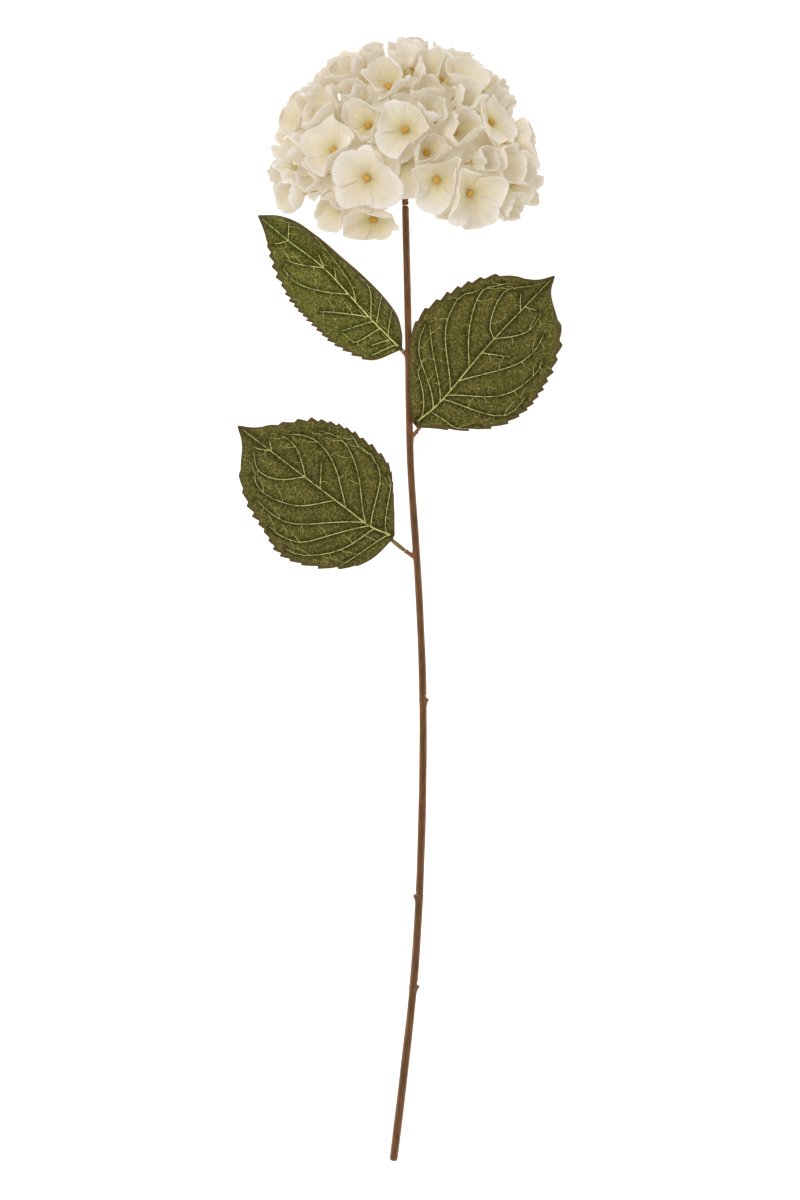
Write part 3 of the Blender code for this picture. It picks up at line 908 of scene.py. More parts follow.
# %% [markdown]
# ## The leaves: pressing the cloth
# A grid is added for each blade, with enough squares for its teeth. Its points move to their
# place in the outline, and then up or down by the pressing: down along each vein, up between
# them, with a slow wave along the margin. A Solidify modifier gives the cloth its thickness, and
# puts the underside in a finish of its own.

# %% Press the three blades
BLADE_ROWS = 220
BLADE_COLUMNS = 84
CLOTH_THICK = 0.35
VEIN_VALLEY = 0.9
VEIN_VALLEY_WIDE = 1.6
QUILT = 0.9
QUILT_WIDE = 5.5
MIDRIB_VALLEY = 0.55
MIDRIB_VALLEY_WIDE = 1.8
SHOULDER = (0.5, 4.5, 2.5)  # the ridge beside the midrib: height, distance, width
MARGIN_WAVES = ((0.9, 21, 1.3), (0.5, 11, 5))  # height, turns along and turns across


def blade_points(leaf, share, across, draw):
    """Where points of a pressed blade lie, with the numbers that its finish reads."""
    middle, heading, length = midrib_frame(leaf, share)
    sideways = np.stack([-heading[:, 1], heading[:, 0], np.zeros(len(share))], -1)
    forwards = np.stack([heading[:, 0], heading[:, 1], np.zeros(len(share))], -1)
    left = across >= 0
    half = half_width(leaf, share, across)
    tooth = np.zeros(len(share))
    drop = np.zeros(len(share))
    for side, here in (("left", left), ("right", ~left)):
        tooth[here] = tooth_row(leaf["teeth"][side], share, draw)[here]
        drop[here] = leaf["drop_" + side] * half[here] / max(leaf[side])
    far = np.abs(across)
    reach = half + TOOTH_HEIGHT * tooth * far**8
    points = middle + sideways * (reach * across)[:, None]
    points += forwards * (TOOTH_FORWARD * np.clip(tooth, 0, 2) * far**8)[:, None]
    points[:, 2] -= drop * far**2
    lap = leaf["lap"] * far**2 * np.clip(1 - share / LAP_SHARE, 0, 1)
    points[:, 2] += np.where(left, lap, 0)

    from_vein = vein_distance(leaf, share, across, length)
    from_midrib = far * half
    fade = np.clip((1 - share) / 0.12, 0, 1) * np.clip((1 - far) / 0.12, 0, 1) ** 0.5
    quilt = (1 - np.exp(-((np.minimum(from_vein, from_midrib) / QUILT_WIDE) ** 2))) * fade
    valley = np.exp(-((from_vein / VEIN_VALLEY_WIDE) ** 2)) * fade
    relief = QUILT * quilt - VEIN_VALLEY * valley
    valley = np.exp(-((from_midrib / MIDRIB_VALLEY_WIDE) ** 2))
    relief -= MIDRIB_VALLEY * valley * np.clip(share / 0.05, 0, 1)
    height, place, width = SHOULDER
    shoulder = np.exp(-(((from_midrib - place) / width) ** 2))
    relief += height * shoulder * np.clip((1 - share) / 0.2, 0, 1)
    waves = [size * np.sin(a * share + b * across) for size, a, b in MARGIN_WAVES]
    relief += (waves[0] + waves[1]) * far**3
    points[:, 2] += relief
    facts = {"vein_far": from_vein / 100, "margin": (1 - far) * half / 100}
    return points, facts, np.stack([across * half, share * length], -1) / 100


def press_blade(name, leaf, draw):
    start_fresh()
    bpy.ops.mesh.primitive_grid_add(
        x_subdivisions=BLADE_COLUMNS, y_subdivisions=BLADE_ROWS, size=2, calc_uvs=True
    )
    blade = bpy.context.object
    blade.name = "cloth_leaf_" + name
    flat = mesh_points(blade)
    share = (flat[:, 1] + 1) / 2
    across = -flat[:, 0]
    points, facts, sheet = blade_points(leaf, share, across, draw)
    set_mesh_points(blade, points)
    for fact, values in facts.items():
        add_number(blade, fact, values)
    corners = np.zeros(len(blade.data.loops), np.int32)
    blade.data.loops.foreach_get("vertex_index", corners)
    blade.data.uv_layers[0].data.foreach_set("uv", sheet[corners].astype(np.float32).ravel())
    wall = blade.modifiers.new("cloth", "SOLIDIFY")
    wall.thickness = CLOTH_THICK * MM
    wall.offset = 0
    wall.material_offset = 1
    wall.material_offset_rim = 0
    return blade


def apply_all(thing):
    choose(thing)
    for modifier in list(thing.modifiers):
        bpy.ops.object.modifier_apply(modifier=modifier.name)


blade_draw = random.Random(11)
blades = {}
for name, leaf in LEAVES.items():
    blades[name] = press_blade(name, leaf, blade_draw)
    print("blade", name, "points:", len(blades[name].data.vertices))

# %% [markdown]
# ## The leaves: raised veins
# The plate also leaves each vein standing up as a fine cord in the bottom of its valley. A cord
# is a wire that thins towards its end, laid half sunk along the pressed cloth. Short side twigs
# leave the long veins here and there, as they do on the real leaf.

# %% Lay the veins
MIDRIB_CORD = (0.62, 0.16)  # radius at the foot and at the tip
VEIN_CORD = (0.36, 0.17)
TWIG_CORD = (0.17, 0.10)
CORD_PROUD = 0.03  # of the cord's middle above the cloth
CORD_SEARCH = 8.0  # how far above the cloth the search for it starts
TWIG_SHARE = 0.09  # how far a twig runs, as a share of the blade's length
TWIG_EVERY = 9  # points along a vein


def laid_cord(blade, leaf, run, radii):
    """A wire on the blade through (share, across) points, with radii at its two ends."""
    share, across = run[:, 0], run[:, 1]
    points = blade_points(leaf, share, across, random.Random(0))[0]
    for point in points:
        above = Vector(placed(point + [0, 0, CORD_SEARCH]))
        hit, spot = blade.ray_cast(above, Vector((0, 0, -1)))[:2]
        if hit:
            point[2] = spot.z / MM - SHIFT[2] + CORD_PROUD
    widths = np.linspace(radii[0], radii[1], len(run))
    return draw_wire("cord", [(*point, width) for point, width in zip(points, widths)], 6)


def twig_runs(run, draw):
    """Short twigs off a vein, on its outer side, each bent a little towards the tip."""
    twigs = []
    sign = 1 if run[-1, 1] > 0 else -1
    for place in range(len(run) // 4, len(run) - 3, TWIG_EVERY):
        start = run[place]
        way = np.array([draw.uniform(0.6, 1.0) * TWIG_SHARE, -sign * draw.uniform(0.02, 0.12)])
        if draw.random() < 0.5:
            way = np.array([-draw.uniform(0.1, 0.35) * TWIG_SHARE, sign * draw.uniform(0.06, 0.12)])
        middle = start + way * [0.4, 0.7]
        end = start + way
        if max(abs(end[1]), abs(middle[1])) < 0.93 and end[0] < 0.95 and end[1] * sign > 0.03:
            twigs.append(smooth_run([start, middle, end], 3))
    return twigs


def lay_veins(blade, leaf, draw):
    midrib = np.stack([np.linspace(0.02, 0.97, 90), np.zeros(90)], -1)
    cords = [laid_cord(blade, leaf, midrib, MIDRIB_CORD)]
    for run in vein_runs(leaf):
        cords.append(laid_cord(blade, leaf, run, VEIN_CORD))
        for twig in twig_runs(run, draw):
            cords.append(laid_cord(blade, leaf, twig, TWIG_CORD))
    return cords


vein_draw = random.Random(23)
cords = {name: lay_veins(blades[name], leaf, vein_draw) for name, leaf in LEAVES.items()}
print("cords laid:", {name: len(laid) for name, laid in cords.items()})

# %% [markdown]
# ## The finish of the leaves
# The cloth is printed a deep olive, with a pale net all over and a brown margin. Along each vein's
# valley and beside the midrib the colour is darkened as painted shade, and the net is fainter there.
# The net is a Voronoi pattern's cell edges, bent by noise. The cords have a finish of their own, a
# pale yellow-green that the print has missed here and there, and the underside is duller and paler.


# %% Leaf cloth
def attribute(tree, name, scale):
    found = add_node(tree, "ShaderNodeAttribute", attribute_name=name).outputs["Fac"]
    return math_node(tree, "MULTIPLY", found, scale)


def net_lines(tree, sheet, size, wide):
    """Lines 1 high between cells, that many to 100 mm."""
    at = stretched(tree, sheet, (size, size, 1.0))
    twist = add_node(tree, "ShaderNodeTexNoise", {"Vector": at, "Scale": 0.9, "Detail": 2.0})
    bent = add_node(tree, "ShaderNodeVectorMath", {0: at, 1: twist.outputs["Color"]}, operation="ADD")
    inputs = {"Vector": bent.outputs[0], "Scale": 1.0}
    cells = add_node(tree, "ShaderNodeTexVoronoi", inputs, feature="DISTANCE_TO_EDGE")
    return band(tree, cells.outputs["Distance"], wide, 0.0)


def leaf_finish(name, green, valley_shade, pale_vein, brown, sun):
    """Printed cloth: its ground, painted shade in the valleys, net, margin, and the patches that faded
    in the sun.
    """
    made, tree, shader, where = start_finish(name)
    far = attribute(tree, "vein_far", 100.0)
    margin = attribute(tree, "margin", 100.0)
    sheet = add_node(tree, "ShaderNodeSeparateXYZ", {0: where.outputs["UV"]})
    across = math_node(tree, "ABSOLUTE", math_node(tree, "MULTIPLY", sheet.outputs[0], 100.0))
    broken = noise(tree, where.outputs["Object"], 420.0, 2.0)
    coarse = math_node(tree, "MULTIPLY", net_lines(tree, where.outputs["UV"], 34.0, 0.085), 0.80)
    fine = math_node(tree, "MULTIPLY", net_lines(tree, where.outputs["UV"], 84.0, 0.16), 0.52)
    lines = math_node(tree, "MAXIMUM", coarse, fine)
    lines = math_node(tree, "MULTIPLY", lines, band(tree, broken, 0.2, 0.6))

    cloud = noise(tree, where.outputs["Object"], 32.0, 3.0)
    grain = noise(tree, where.outputs["Object"], 1100.0, 2.0, 0.6)
    base = mix_colours(tree, band(tree, cloud, 0.35, 0.68), green, sun)
    base = mix_colours(tree, band(tree, grain, 0.35, 0.7), base, (0.56, 0.56, 0.54), "MULTIPLY")
    # Painted shade: darker along the veins' valleys and beside the midrib, where the pressed cloth
    # sinks, and the net fainter there.
    painted_valley_shade = math_node(tree, "MAXIMUM", band(tree, far, 4.4, 0.6), band(tree, across, 6.5, 1.0))
    base = mix_colours(tree, math_node(tree, "MULTIPLY", painted_valley_shade, 0.95), base, valley_shade)
    kept = math_node(tree, "SUBTRACT", 1.0, math_node(tree, "MULTIPLY", painted_valley_shade, 0.55))
    lines = math_node(tree, "MULTIPLY", lines, kept)
    base = mix_colours(tree, lines, base, pale_vein)
    edge = math_node(tree, "ADD", margin, math_node(tree, "MULTIPLY", broken, -1.6))
    base = mix_colours(tree, math_node(tree, "MULTIPLY", band(tree, edge, 2.6, 0.0), 0.85), base, brown)
    tree.links.new(base, shader.inputs["Base Color"])
    tree.links.new(band(tree, grain, -0.9, 1.1), shader.inputs["Roughness"])
    shader.inputs["Specular IOR Level"].default_value = 0.12
    raised = math_node(tree, "ADD", lines, math_node(tree, "MULTIPLY", grain, 0.4))
    bump(tree, shader, raised, 0.0003)
    return made


def cord_finish(name, pale, worn):
    made, tree, shader, where = start_finish(name)
    missed = noise(tree, where.outputs["Object"], 330.0, 3.0, 0.6)
    colour = mix_colours(tree, band(tree, missed, 0.34, 0.56), worn, pale)
    tree.links.new(colour, shader.inputs["Base Color"])
    shader.inputs["Roughness"].default_value = 0.7
    shader.inputs["Specular IOR Level"].default_value = 0.15
    bump(tree, shader, missed, 0.0001)
    return made


OLIVE = (0.072, 0.068, 0.009)
# the colour of the painted shade in the leaves' valleys
OLIVE_VALLEY_SHADE = (0.022, 0.024, 0.001)
OLIVE_NET = (0.42, 0.385, 0.110)
OLIVE_BROWN = (0.130, 0.084, 0.034)
OLIVE_SUN = (0.115, 0.095, 0.020)
leaf_green = leaf_finish("olive leaf cloth", OLIVE, OLIVE_VALLEY_SHADE, OLIVE_NET, OLIVE_BROWN, OLIVE_SUN)
leaf_fresh = leaf_finish(
    "fresh leaf cloth",
    (0.082, 0.086, 0.008),
    (0.024, 0.030, 0.001),
    (0.50, 0.49, 0.13),
    OLIVE_BROWN,
    (0.120, 0.112, 0.018),
)
leaf_under = leaf_finish(
    "leaf cloth underside",
    (0.150, 0.150, 0.085),
    (0.12, 0.12, 0.06),
    (0.25, 0.25, 0.13),
    (0.16, 0.13, 0.09),
    (0.19, 0.18, 0.11),
)
cord_green = cord_finish("pale leaf cord", (0.80, 0.78, 0.30), (0.30, 0.30, 0.07))
cord_fresh = cord_finish("bright leaf cord", (0.85, 0.90, 0.33), (0.34, 0.37, 0.08))
for name, blade in blades.items():
    fresh = name == "upper_left"
    blade.data.materials.clear()
    blade.data.materials.append(leaf_fresh if fresh else leaf_green)
    blade.data.materials.append(leaf_under)
    apply_all(blade)
    for cord in cords[name]:
        cord.data.materials.append(cord_fresh if fresh else cord_green)
    join_into(blade, cords[name])
    bpy.ops.object.shade_smooth()
    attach(blade, "root")
    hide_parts("leaf_blade_" + name)
    print(blade.name, "triangles:", sum(len(p.vertices) - 2 for p in blade.data.polygons))

# %% [markdown]
# ## The ribs under the leaves
# Each leaf is glued along a thin plastic rib, which carries on below it as the leaf's stalk and
# slips over the stub on the stem. It is a tapering wire, fuller at its foot, where it has a small
# collar of its own.

# %% Draw the ribs
RIB_STALK_RADIUS = 1.2
RIB_TIP_RADIUS = 0.4
RIB_SHARE = 0.78
RIB_BELOW = 0.85  # from the blade's middle down to the top of its rib


def rib_run(name, leaf):
    low, high = STUBS[name]
    first, last = on_stem(low), on_stem(high)
    start = last + (last - first) / np.linalg.norm(last - first) * GAP
    shares = np.array([0.08, 0.16, 0.25, 0.35, 0.45, 0.55, 0.65, RIB_SHARE])
    middles = midrib_frame(leaf, shares)[0]
    radii = RIB_STALK_RADIUS + (RIB_TIP_RADIUS - RIB_STALK_RADIUS) * shares / RIB_SHARE
    middles[:, 2] -= RIB_BELOW + radii
    points = [(*start, RIB_STALK_RADIUS)]
    points += [(*middle, radius) for middle, radius in zip(middles, radii)]
    run = smooth_run(points, 6)
    swell = np.array([1.05, 1.32, 1.30, 1.12, 1.0])
    run[: len(swell), 3] *= swell
    run[-2:, 3] *= (0.9, 0.6)
    return run


rib_plastic, tree, shader, where = start_finish("rib plastic")
mottle = noise(tree, stretched(tree, where.outputs["Object"], (500, 500, 500)), 1.0, 3.0)
greens = ramp_node(
    tree, mottle, [(0.3, (0.15, 0.11, 0.028)), (0.55, (0.24, 0.17, 0.045)), (0.8, (0.32, 0.22, 0.06))]
)
tree.links.new(greens, shader.inputs["Base Color"])
shader.inputs["Roughness"].default_value = 0.45
bump(tree, shader, mottle, 0.0001)

for name, leaf in LEAVES.items():
    rib = draw_wire("leaf_stalk_" + name, rib_run(name, leaf), 12)
    bpy.ops.object.shade_smooth()
    stand_for(rib, "leaf_rib_" + name, [rib_plastic])
    print(rib.name, "points:", len(rib.data.vertices))

# %% [markdown]
# ## The flower head: where florets sit
# The florets stand on a ball round a hub above the stem. Each has a direction from the hub and a
# lift, which says if it stands proud of its neighbours or is sunk between them. The first 42 are
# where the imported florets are, so each covers its own. Another 58 close the gaps that are left:
# some are tucked in between the first ones, and the rest make a layer below them.

# %% Directions and lifts
SEAT_RADIUS = 76.0
SEAT_SPREAD = 4.0
BEAD_ROOM = 7.8
FRONT_FLORETS = [
    (0, 26, 1.0),
    (-19, 2, 0.8),
    (16, 1, 0.2),
    (34, -6, 0.6),
    (54, 8, -0.2),
    (-40, 15, 0.5),
    (-23, 30, -0.4),
    (57, 29, 0.9),
    (31, 27, -0.9),
    (-52, 34, -0.2),
    (16, 48, -0.8),
    (-14, 53, 0.6),
    (-54, 57, -0.1),
    (50, 52, 0.7),
    (-5, 77, -0.2),
    (-64, 14, -0.6),
    (-80, 30, 0.5),
    (80, 40, -0.5),
    (78, 16, 0.4),
    (-18, -20, -0.4),
    (-36, -12, -0.5),
    (-62, -7, 0.6),
    (58, -13, 0.1),
    (84, -5, -0.4),
    (-88, 4, -0.2),
]
# Rows behind: angle above the hub, how many florets, degrees between them.
BACK_ROWS = ((-6, 5, 34), (18, 5, 37), (43, 4, 45.5), (68, 3, 80))
BACK_LIFT = 0.6  # up and down by turns along a row
PACKED_FLORETS = 42
TUCKED = 28  # more florets, pushed in between those that are packed
TUCKED_LIFT = -0.7
UNDER = 30  # and more again in a layer below
UNDER_LIFT = -2  # the lift that says that a floret is in that layer
UNDER_SEAT = 63.0
UNDER_FLOOR_ROOM = 16.0
TRIED_PLACES = 600
GOLDEN_TURN = 180 * (3 - math.sqrt(5))
FILL_BELOW = (-17, -6)  # no filler lower than this, in front and at the sides
NECK_TURN = 17  # the stem's top shows between the florets in front
NECK_BELOW = 8
BACK_SHARE = 0.85  # the side that is lain on is filled less


def pointing(around, above):
    """The direction from the hub at an angle round the stem and an angle above the hub."""
    turn, raised = math.radians(around), math.radians(above)
    level = ACROSS * math.sin(turn) + OUT * math.cos(turn)
    return level * math.cos(raised) + UP * math.sin(raised)


def may_fill(around, above):
    side = math.sin(math.radians(around)) ** 2
    lowest = FILL_BELOW[0] + (FILL_BELOW[1] - FILL_BELOW[0]) * side
    at_neck = abs((around + 180) % 360 - 180) < NECK_TURN and above < NECK_BELOW
    return above > lowest and not at_neck


def fill_widest_gaps(places, count, lift):
    """Adds florets of one lift, one at a time, each in the widest gap that is left."""
    tried = []
    for k in range(TRIED_PLACES):
        above = math.degrees(math.asin(1 - (2 * k + 1) / TRIED_PLACES))
        if may_fill(k * GOLDEN_TURN % 360, above):
            tried.append((k * GOLDEN_TURN % 360, above))
    ways = np.array([pointing(*place) for place in tried])
    share = np.where(ways @ OUT < 0, BACK_SHARE, 1.0)
    for _ in range(count):
        taken = np.array([pointing(around, above) for around, above, _ in places])
        gaps = np.arccos(np.clip(ways @ taken.T, -1, 1)).min(axis=1) * share
        places.append((*tried[int(gaps.argmax())], lift))


def floret_places():
    """Every floret's angle round the stem, angle above the hub and lift."""
    places = list(FRONT_FLORETS)
    for above, count, apart in BACK_ROWS:
        for k in range(count):
            lift = BACK_LIFT * (-1) ** (k + above // 10)
            places.append((180 + (k - (count - 1) / 2) * apart, above, lift))
    fill_widest_gaps(places, TUCKED, TUCKED_LIFT)
    fill_widest_gaps(places, UNDER, UNDER_LIFT)
    return places


def seat_radius(direction, lift):
    """How far a floret's middle is from the hub: less where its bead would meet the table."""
    under = lift == UNDER_LIFT
    radius = UNDER_SEAT if under else SEAT_RADIUS + SEAT_SPREAD * lift
    room = UNDER_FLOOR_ROOM if under else BEAD_ROOM
    if direction[2] < 0:
        radius = min(radius, (HUB_HEIGHT - room) / -direction[2])
    return radius


PLACES = floret_places()
DIRECTIONS = np.array([pointing(around, above) for around, above, lift in PLACES])
LIFTS = np.array([lift for around, above, lift in PLACES])
SEATS = np.array([seat_radius(d, lift) for d, lift in zip(DIRECTIONS, LIFTS)])
print("florets:", len(PLACES), "seats from", round(SEATS.min(), 1), "to", round(SEATS.max(), 1))

# %% [markdown]
# ## The flower head: room for each floret
# Petals press against their neighbours' petals and turn up or lap over where they meet. So each
# floret has a cell of its own: between two florets stands a wavy wall that leans over the sunk
# one. A petal that would cross it is bent along it instead, and rises by what it can't spread.

# %% Walls between florets
CELL_MARGIN = math.radians(0.45)
CELL_LEAN = 0.10
LEAST_ROOM = 0.09  # on each side of a wall, in radians from a floret's axis
WALL_WAVE = 0.05
WALL_WAVES = 13.0
LEAN_FROM = 73.0
LEAN_TO = 90.0
NEAR_FLORETS = 1.1
BELOW_FRONT = -27.0
BELOW_SIDES = -13.0
HEAD_RADIUS = 99.0
UNDER_EDGE = 70.5
BELOW = LIFTS == UNDER_LIFT


def walls_of(index):
    """The walls round one floret, as arrays: way across, way along, lean, wave size and phase."""
    own = DIRECTIONS[index]
    if BELOW[index]:  # the layer below is free to spread: one wall that it never meets
        return np.array([[*own, *own, 0, 0, 0]])
    rows = []
    for other in range(len(DIRECTIONS)):
        apart = math.acos(float(np.clip(DIRECTIONS[other] @ own, -1, 1)))
        if other == index or apart > NEAR_FLORETS or BELOW[other]:
            continue
        across = own - DIRECTIONS[other]
        across /= np.linalg.norm(across)
        first, second = sorted((index, other))
        along = np.cross(DIRECTIONS[first], DIRECTIONS[second])
        along /= np.linalg.norm(along)
        sign = 1.0 if index == first else -1.0
        phase = random.Random(97 * first + second).uniform(0, 2 * math.pi)
        room = math.sin(apart / 2) - LEAST_ROOM
        wave = min(WALL_WAVE, 0.35 * room)
        lean = CELL_LEAN * (LIFTS[index] - LIFTS[other])
        lean = min(max(lean, wave - room), room - wave)
        rows.append((*across, *along, lean, sign * wave, phase))
    return np.array(rows)


def room_left(q, radius, walls):
    """How far directions are inside their floret's cell, at distances from the hub."""
    share = np.clip((radius - LEAN_FROM) / (LEAN_TO - LEAN_FROM), 0, 1)[:, None]
    wave = walls[:, 7] * np.sin(WALL_WAVES * (q @ walls[:, 3:6].T) + walls[:, 8])
    room = (q @ walls[:, :3].T + (walls[:, 6] + wave) * share).min(axis=1)
    side = (q @ ACROSS) ** 2
    level = np.maximum(side + (q @ OUT) ** 2, 1e-9)
    below = np.radians(BELOW_FRONT + (BELOW_SIDES - BELOW_FRONT) * side / level)
    return np.minimum(room, q @ UP - np.sin(below))


def widest_turn(outwards, headings, radius, walls, inset):
    """The largest angle from a floret's axis that stays in its cell, by halving."""
    low = np.zeros(len(radius))
    high = np.full(len(radius), 1.0)
    for _ in range(20):
        middle = (low + high) / 2
        q = outwards * np.cos(middle)[:, None] + headings * np.sin(middle)[:, None]
        inside = room_left(q, radius, walls) > CELL_MARGIN + inset
        low = np.where(inside, middle, low)
        high = np.where(inside, high, middle)
    return low


def ease_under(value, limit, softness):
    """The value, bent smoothly so that it stays under the limit."""
    return limit - softness * np.logaddexp(0, (limit - value) / softness)


print("walls round the first floret:", len(walls_of(0)))

# %% [markdown]
# ## The flower head: one floret
# A floret is one piece of thin cloth, stamped with four broad petals round a small hole, and
# pressed hot over a ball so that its throat sinks and its petals cup and curl. The stamping is
# modelled once: four grids side by side, one for each petal. Forming one copy of it for each
# floret moves every point by its place in its petal: out from the hole, up by the cup, creases
# and waves, and then into the floret's cell.

# %% Stamp the blank
PETAL_CELLS = 20
BLANK_STEP = 3  # from one grid of the blank to the next
EYE_RADIUS = 1.3
PETAL_LENGTH = 30.0
PETAL_SPREAD = 3.0
OPEN_FLORETS = 8  # the first of the list lie open, and the others are half closed cups
PETAL_OVERLAP = math.radians(7)
PETAL_THICK = 0.22
JOINED = 0.165  # the share of a petal, from the hole, that is joined to the next


def stamp_blank():
    petals = []
    for k in range(4):
        start_fresh()
        bpy.ops.mesh.primitive_grid_add(
            x_subdivisions=PETAL_CELLS,
            y_subdivisions=PETAL_CELLS,
            size=2,
            location=(BLANK_STEP * k, 0, 0),
            calc_uvs=True,
        )
        petals.append(bpy.context.object)
        settle(petals[-1])
    join_into(petals[0], petals[1:])
    petals[0].name = "stamped_blank"
    return petals[0]


blank = stamp_blank()
flat = mesh_points(blank)
blank_petal = np.round(flat[:, 0] / BLANK_STEP).astype(int)
blank_u = flat[:, 0] - BLANK_STEP * blank_petal
blank_v = (flat[:, 1] + 1) / 2
print("points in the blank:", len(flat))


# %% Form a floret
TUCKED_STEEPER = math.radians(10)
BELOW_FLATTER = math.radians(14)
THROAT = (2.6, 2.2)  # how deep the throat is pressed, and how fast it rises
PETAL_EDGE_LAP = 0.9  # one edge of a petal over its neighbour, the other under


def ease(value, low, high):
    share = np.clip((value - low) / (high - low), 0, 1)
    return share * share * (3 - 2 * share)


def petal_outline(u, habit):
    """How far a petal reaches at each place across it, as a share of its length."""
    dome = np.maximum(np.cos(u * math.pi / 2), 0) ** habit["blunt"]
    shape = 1 + habit["notch"] * -np.exp(-(((u - habit["notch_at"]) / 0.13) ** 2))
    shape += habit["wander"] * np.sin(5.5 * u + habit["phase"])
    shape += 0.018 * np.sin(23 * u + 3 * habit["phase"]) + 0.016 * np.sin(41 * u + habit["phase"])
    shape += habit["point"] * np.exp(-np.abs(u - habit["notch_at"]) / 0.10)
    return 0.62 + 0.38 * dome * shape


def petal_habits(draw, is_open):
    """What differs from petal to petal of one floret."""
    habits = []
    low, high = (4, 24) if is_open else (12, 40)
    shut = 0.12 if is_open else 0.75
    for _ in range(4):
        habits.append(
            {
                "blunt": draw.uniform(0.45, 0.7),
                "notch": draw.choice((0.0, 0.05, 0.12)),
                "notch_at": draw.uniform(-0.3, 0.3),
                "point": draw.choice((0.0, 0.0, 0.0, 0.10, 0.20)),
                "wander": draw.uniform(0.0, 0.05),
                "phase": draw.uniform(0, 2 * math.pi),
                "slope": math.radians(draw.uniform(low, high)),
                "curl": draw.uniform(0.5, 5.0),
                "cup": draw.uniform(-0.5, 3.5),
                "crease": draw.uniform(0.3, 2.0),
                "wave": draw.uniform(0.4, 1.5),
                "lean": draw.uniform(-2.5, 2.5),
                "shut": draw.uniform(0, shut),
            }
        )
    return habits


def form_floret(index, length, twist, draw):
    """Points of one floret, in millimetres from the hub."""
    outwards = DIRECTIONS[index]
    seat = SEATS[index]
    first = np.array(Vector(outwards).orthogonal().normalized())
    second = np.cross(outwards, first)
    habits = petal_habits(draw, index < OPEN_FLORETS or BELOW[index])
    if index >= PACKED_FLORETS and not BELOW[index]:
        for habit in habits:
            habit.update(slope=habit["slope"] + TUCKED_STEEPER, shut=0.25 + 0.6 * habit["shut"])
    if BELOW[index]:
        for habit in habits:
            habit.update(slope=habit["slope"] - BELOW_FLATTER, curl=habit["curl"] * 0.4, cup=0.5)
            habit["lean"] *= 0.3
    tilt, tilt_way = draw.uniform(0, 0.16), draw.uniform(0, 2 * math.pi)
    u, v = blank_u, blank_v
    free = ease(v, JOINED, 0.5)
    azimuth = np.zeros(len(u))
    reach = np.zeros(len(u))
    rise = np.zeros(len(u))
    slope = np.zeros(len(u))
    shut = np.zeros(len(u))
    for k, habit in enumerate(habits):
        here = blank_petal == k
        uk, vk, loose = u[here], v[here], free[here]
        following, before = habits[(k + 1) % 4], habits[(k - 1) % 4]
        beside = np.where(uk > 0, following["slope"], before["slope"])
        slope[here] = habit["slope"] + (0.5 * (beside - habit["slope"])) * uk**2
        azimuth[here] = twist + math.pi / 2 * k + (math.pi / 4 + PETAL_OVERLAP * loose) * uk
        reach[here] = EYE_RADIUS + (length * petal_outline(uk, habit) - EYE_RADIUS) * vk
        far = reach[here] / length
        up = -habit["curl"] * far**4 * (1 - 0.5 * uk**2)
        up += habit["cup"] * uk**2 * loose * vk
        length_of_crease = np.sin(math.pi * np.clip(vk, 0, 1)) ** 0.5
        up -= habit["crease"] * np.exp(-((uk / 0.16) ** 2)) * loose * length_of_crease
        up += habit["wave"] * np.sin(4.2 * uk + habit["phase"]) * vk**2 * loose
        pleats = 0.45 * np.sin(15 * uk + 2 * habit["phase"]) + 0.28 * np.sin(29 * uk + habit["phase"])
        up += pleats * loose * vk + 0.7 * np.sin(9 * uk + 3 * habit["phase"]) * vk**6
        up += habit["lean"] * uk * (1 - uk**2) * loose
        up += PETAL_EDGE_LAP * uk * loose
        rise[here] = up
        shut[here] = habit["shut"] * (1 - 0.6 * uk**2) * loose * vk**1.5
    rise += THROAT[0] * (1 - np.exp(-(reach - EYE_RADIUS) / THROAT[1]))
    rise += tilt * reach * np.cos(azimuth - tilt_way) * ease(v, 0, 0.4)
    level = reach * np.cos(slope) * (1 - shut)
    height = seat + reach * np.sin(slope) + rise + 0.45 * shut * reach
    headings = np.outer(np.cos(azimuth), first) + np.outer(np.sin(azimuth), second)
    turn = np.arctan2(level, height)
    radius = np.hypot(level, height)

    walls = walls_of(index)
    inset = 0.008 * (1 + u) * free
    turned, wanted = turn, turn
    grown = radius
    for _ in range(3):
        limit = widest_turn(outwards, headings, grown, walls, inset)
        turned = ease_under(wanted, limit, 0.02)
        highest, softness = (UNDER_EDGE, 0.8) if BELOW[index] else (HEAD_RADIUS, 2.5)
        grown = ease_under(radius + 0.62 * (wanted - turned) * radius, highest, softness)
    q = outwards * np.cos(turned)[:, None] + headings * np.sin(turned)[:, None]
    low = q[:, 2] < -0.2
    above_table = 10.0 if BELOW[index] else 0.5
    table = np.where(low, (HUB_HEIGHT - above_table) / np.maximum(-q[:, 2], 0.2), 1000)
    grown = np.where(low, ease_under(grown, table, 1.2), grown)
    return q * grown[:, None]


def make_floret(index, draw):
    length = PETAL_LENGTH + PETAL_SPREAD * draw.uniform(-1, 1)
    twist = draw.uniform(0, math.pi / 2)
    start_fresh()
    floret = bpy.data.objects.new(f"cloth_floret_{index + 1:02d}", blank.data.copy())
    bpy.context.scene.collection.objects.link(floret)
    habits_draw = random.Random(1000 + index)
    set_mesh_points(floret, HUB + form_floret(index, length, twist, habits_draw))
    close_up(floret, 0.00002)
    normals = np.zeros(len(floret.data.polygons) * 3, np.float32)
    floret.data.polygons.foreach_get("normal", normals)
    if (normals.reshape(-1, 3) @ DIRECTIONS[index]).sum() < 0:
        edit_all(floret)
        bpy.ops.mesh.flip_normals()
        bpy.ops.object.mode_set(mode="OBJECT")
    wall = floret.modifiers.new("cloth", "SOLIDIFY")
    wall.thickness = PETAL_THICK * MM
    wall.offset = 0
    apply_all(floret)
    bpy.ops.object.shade_smooth()
    return floret


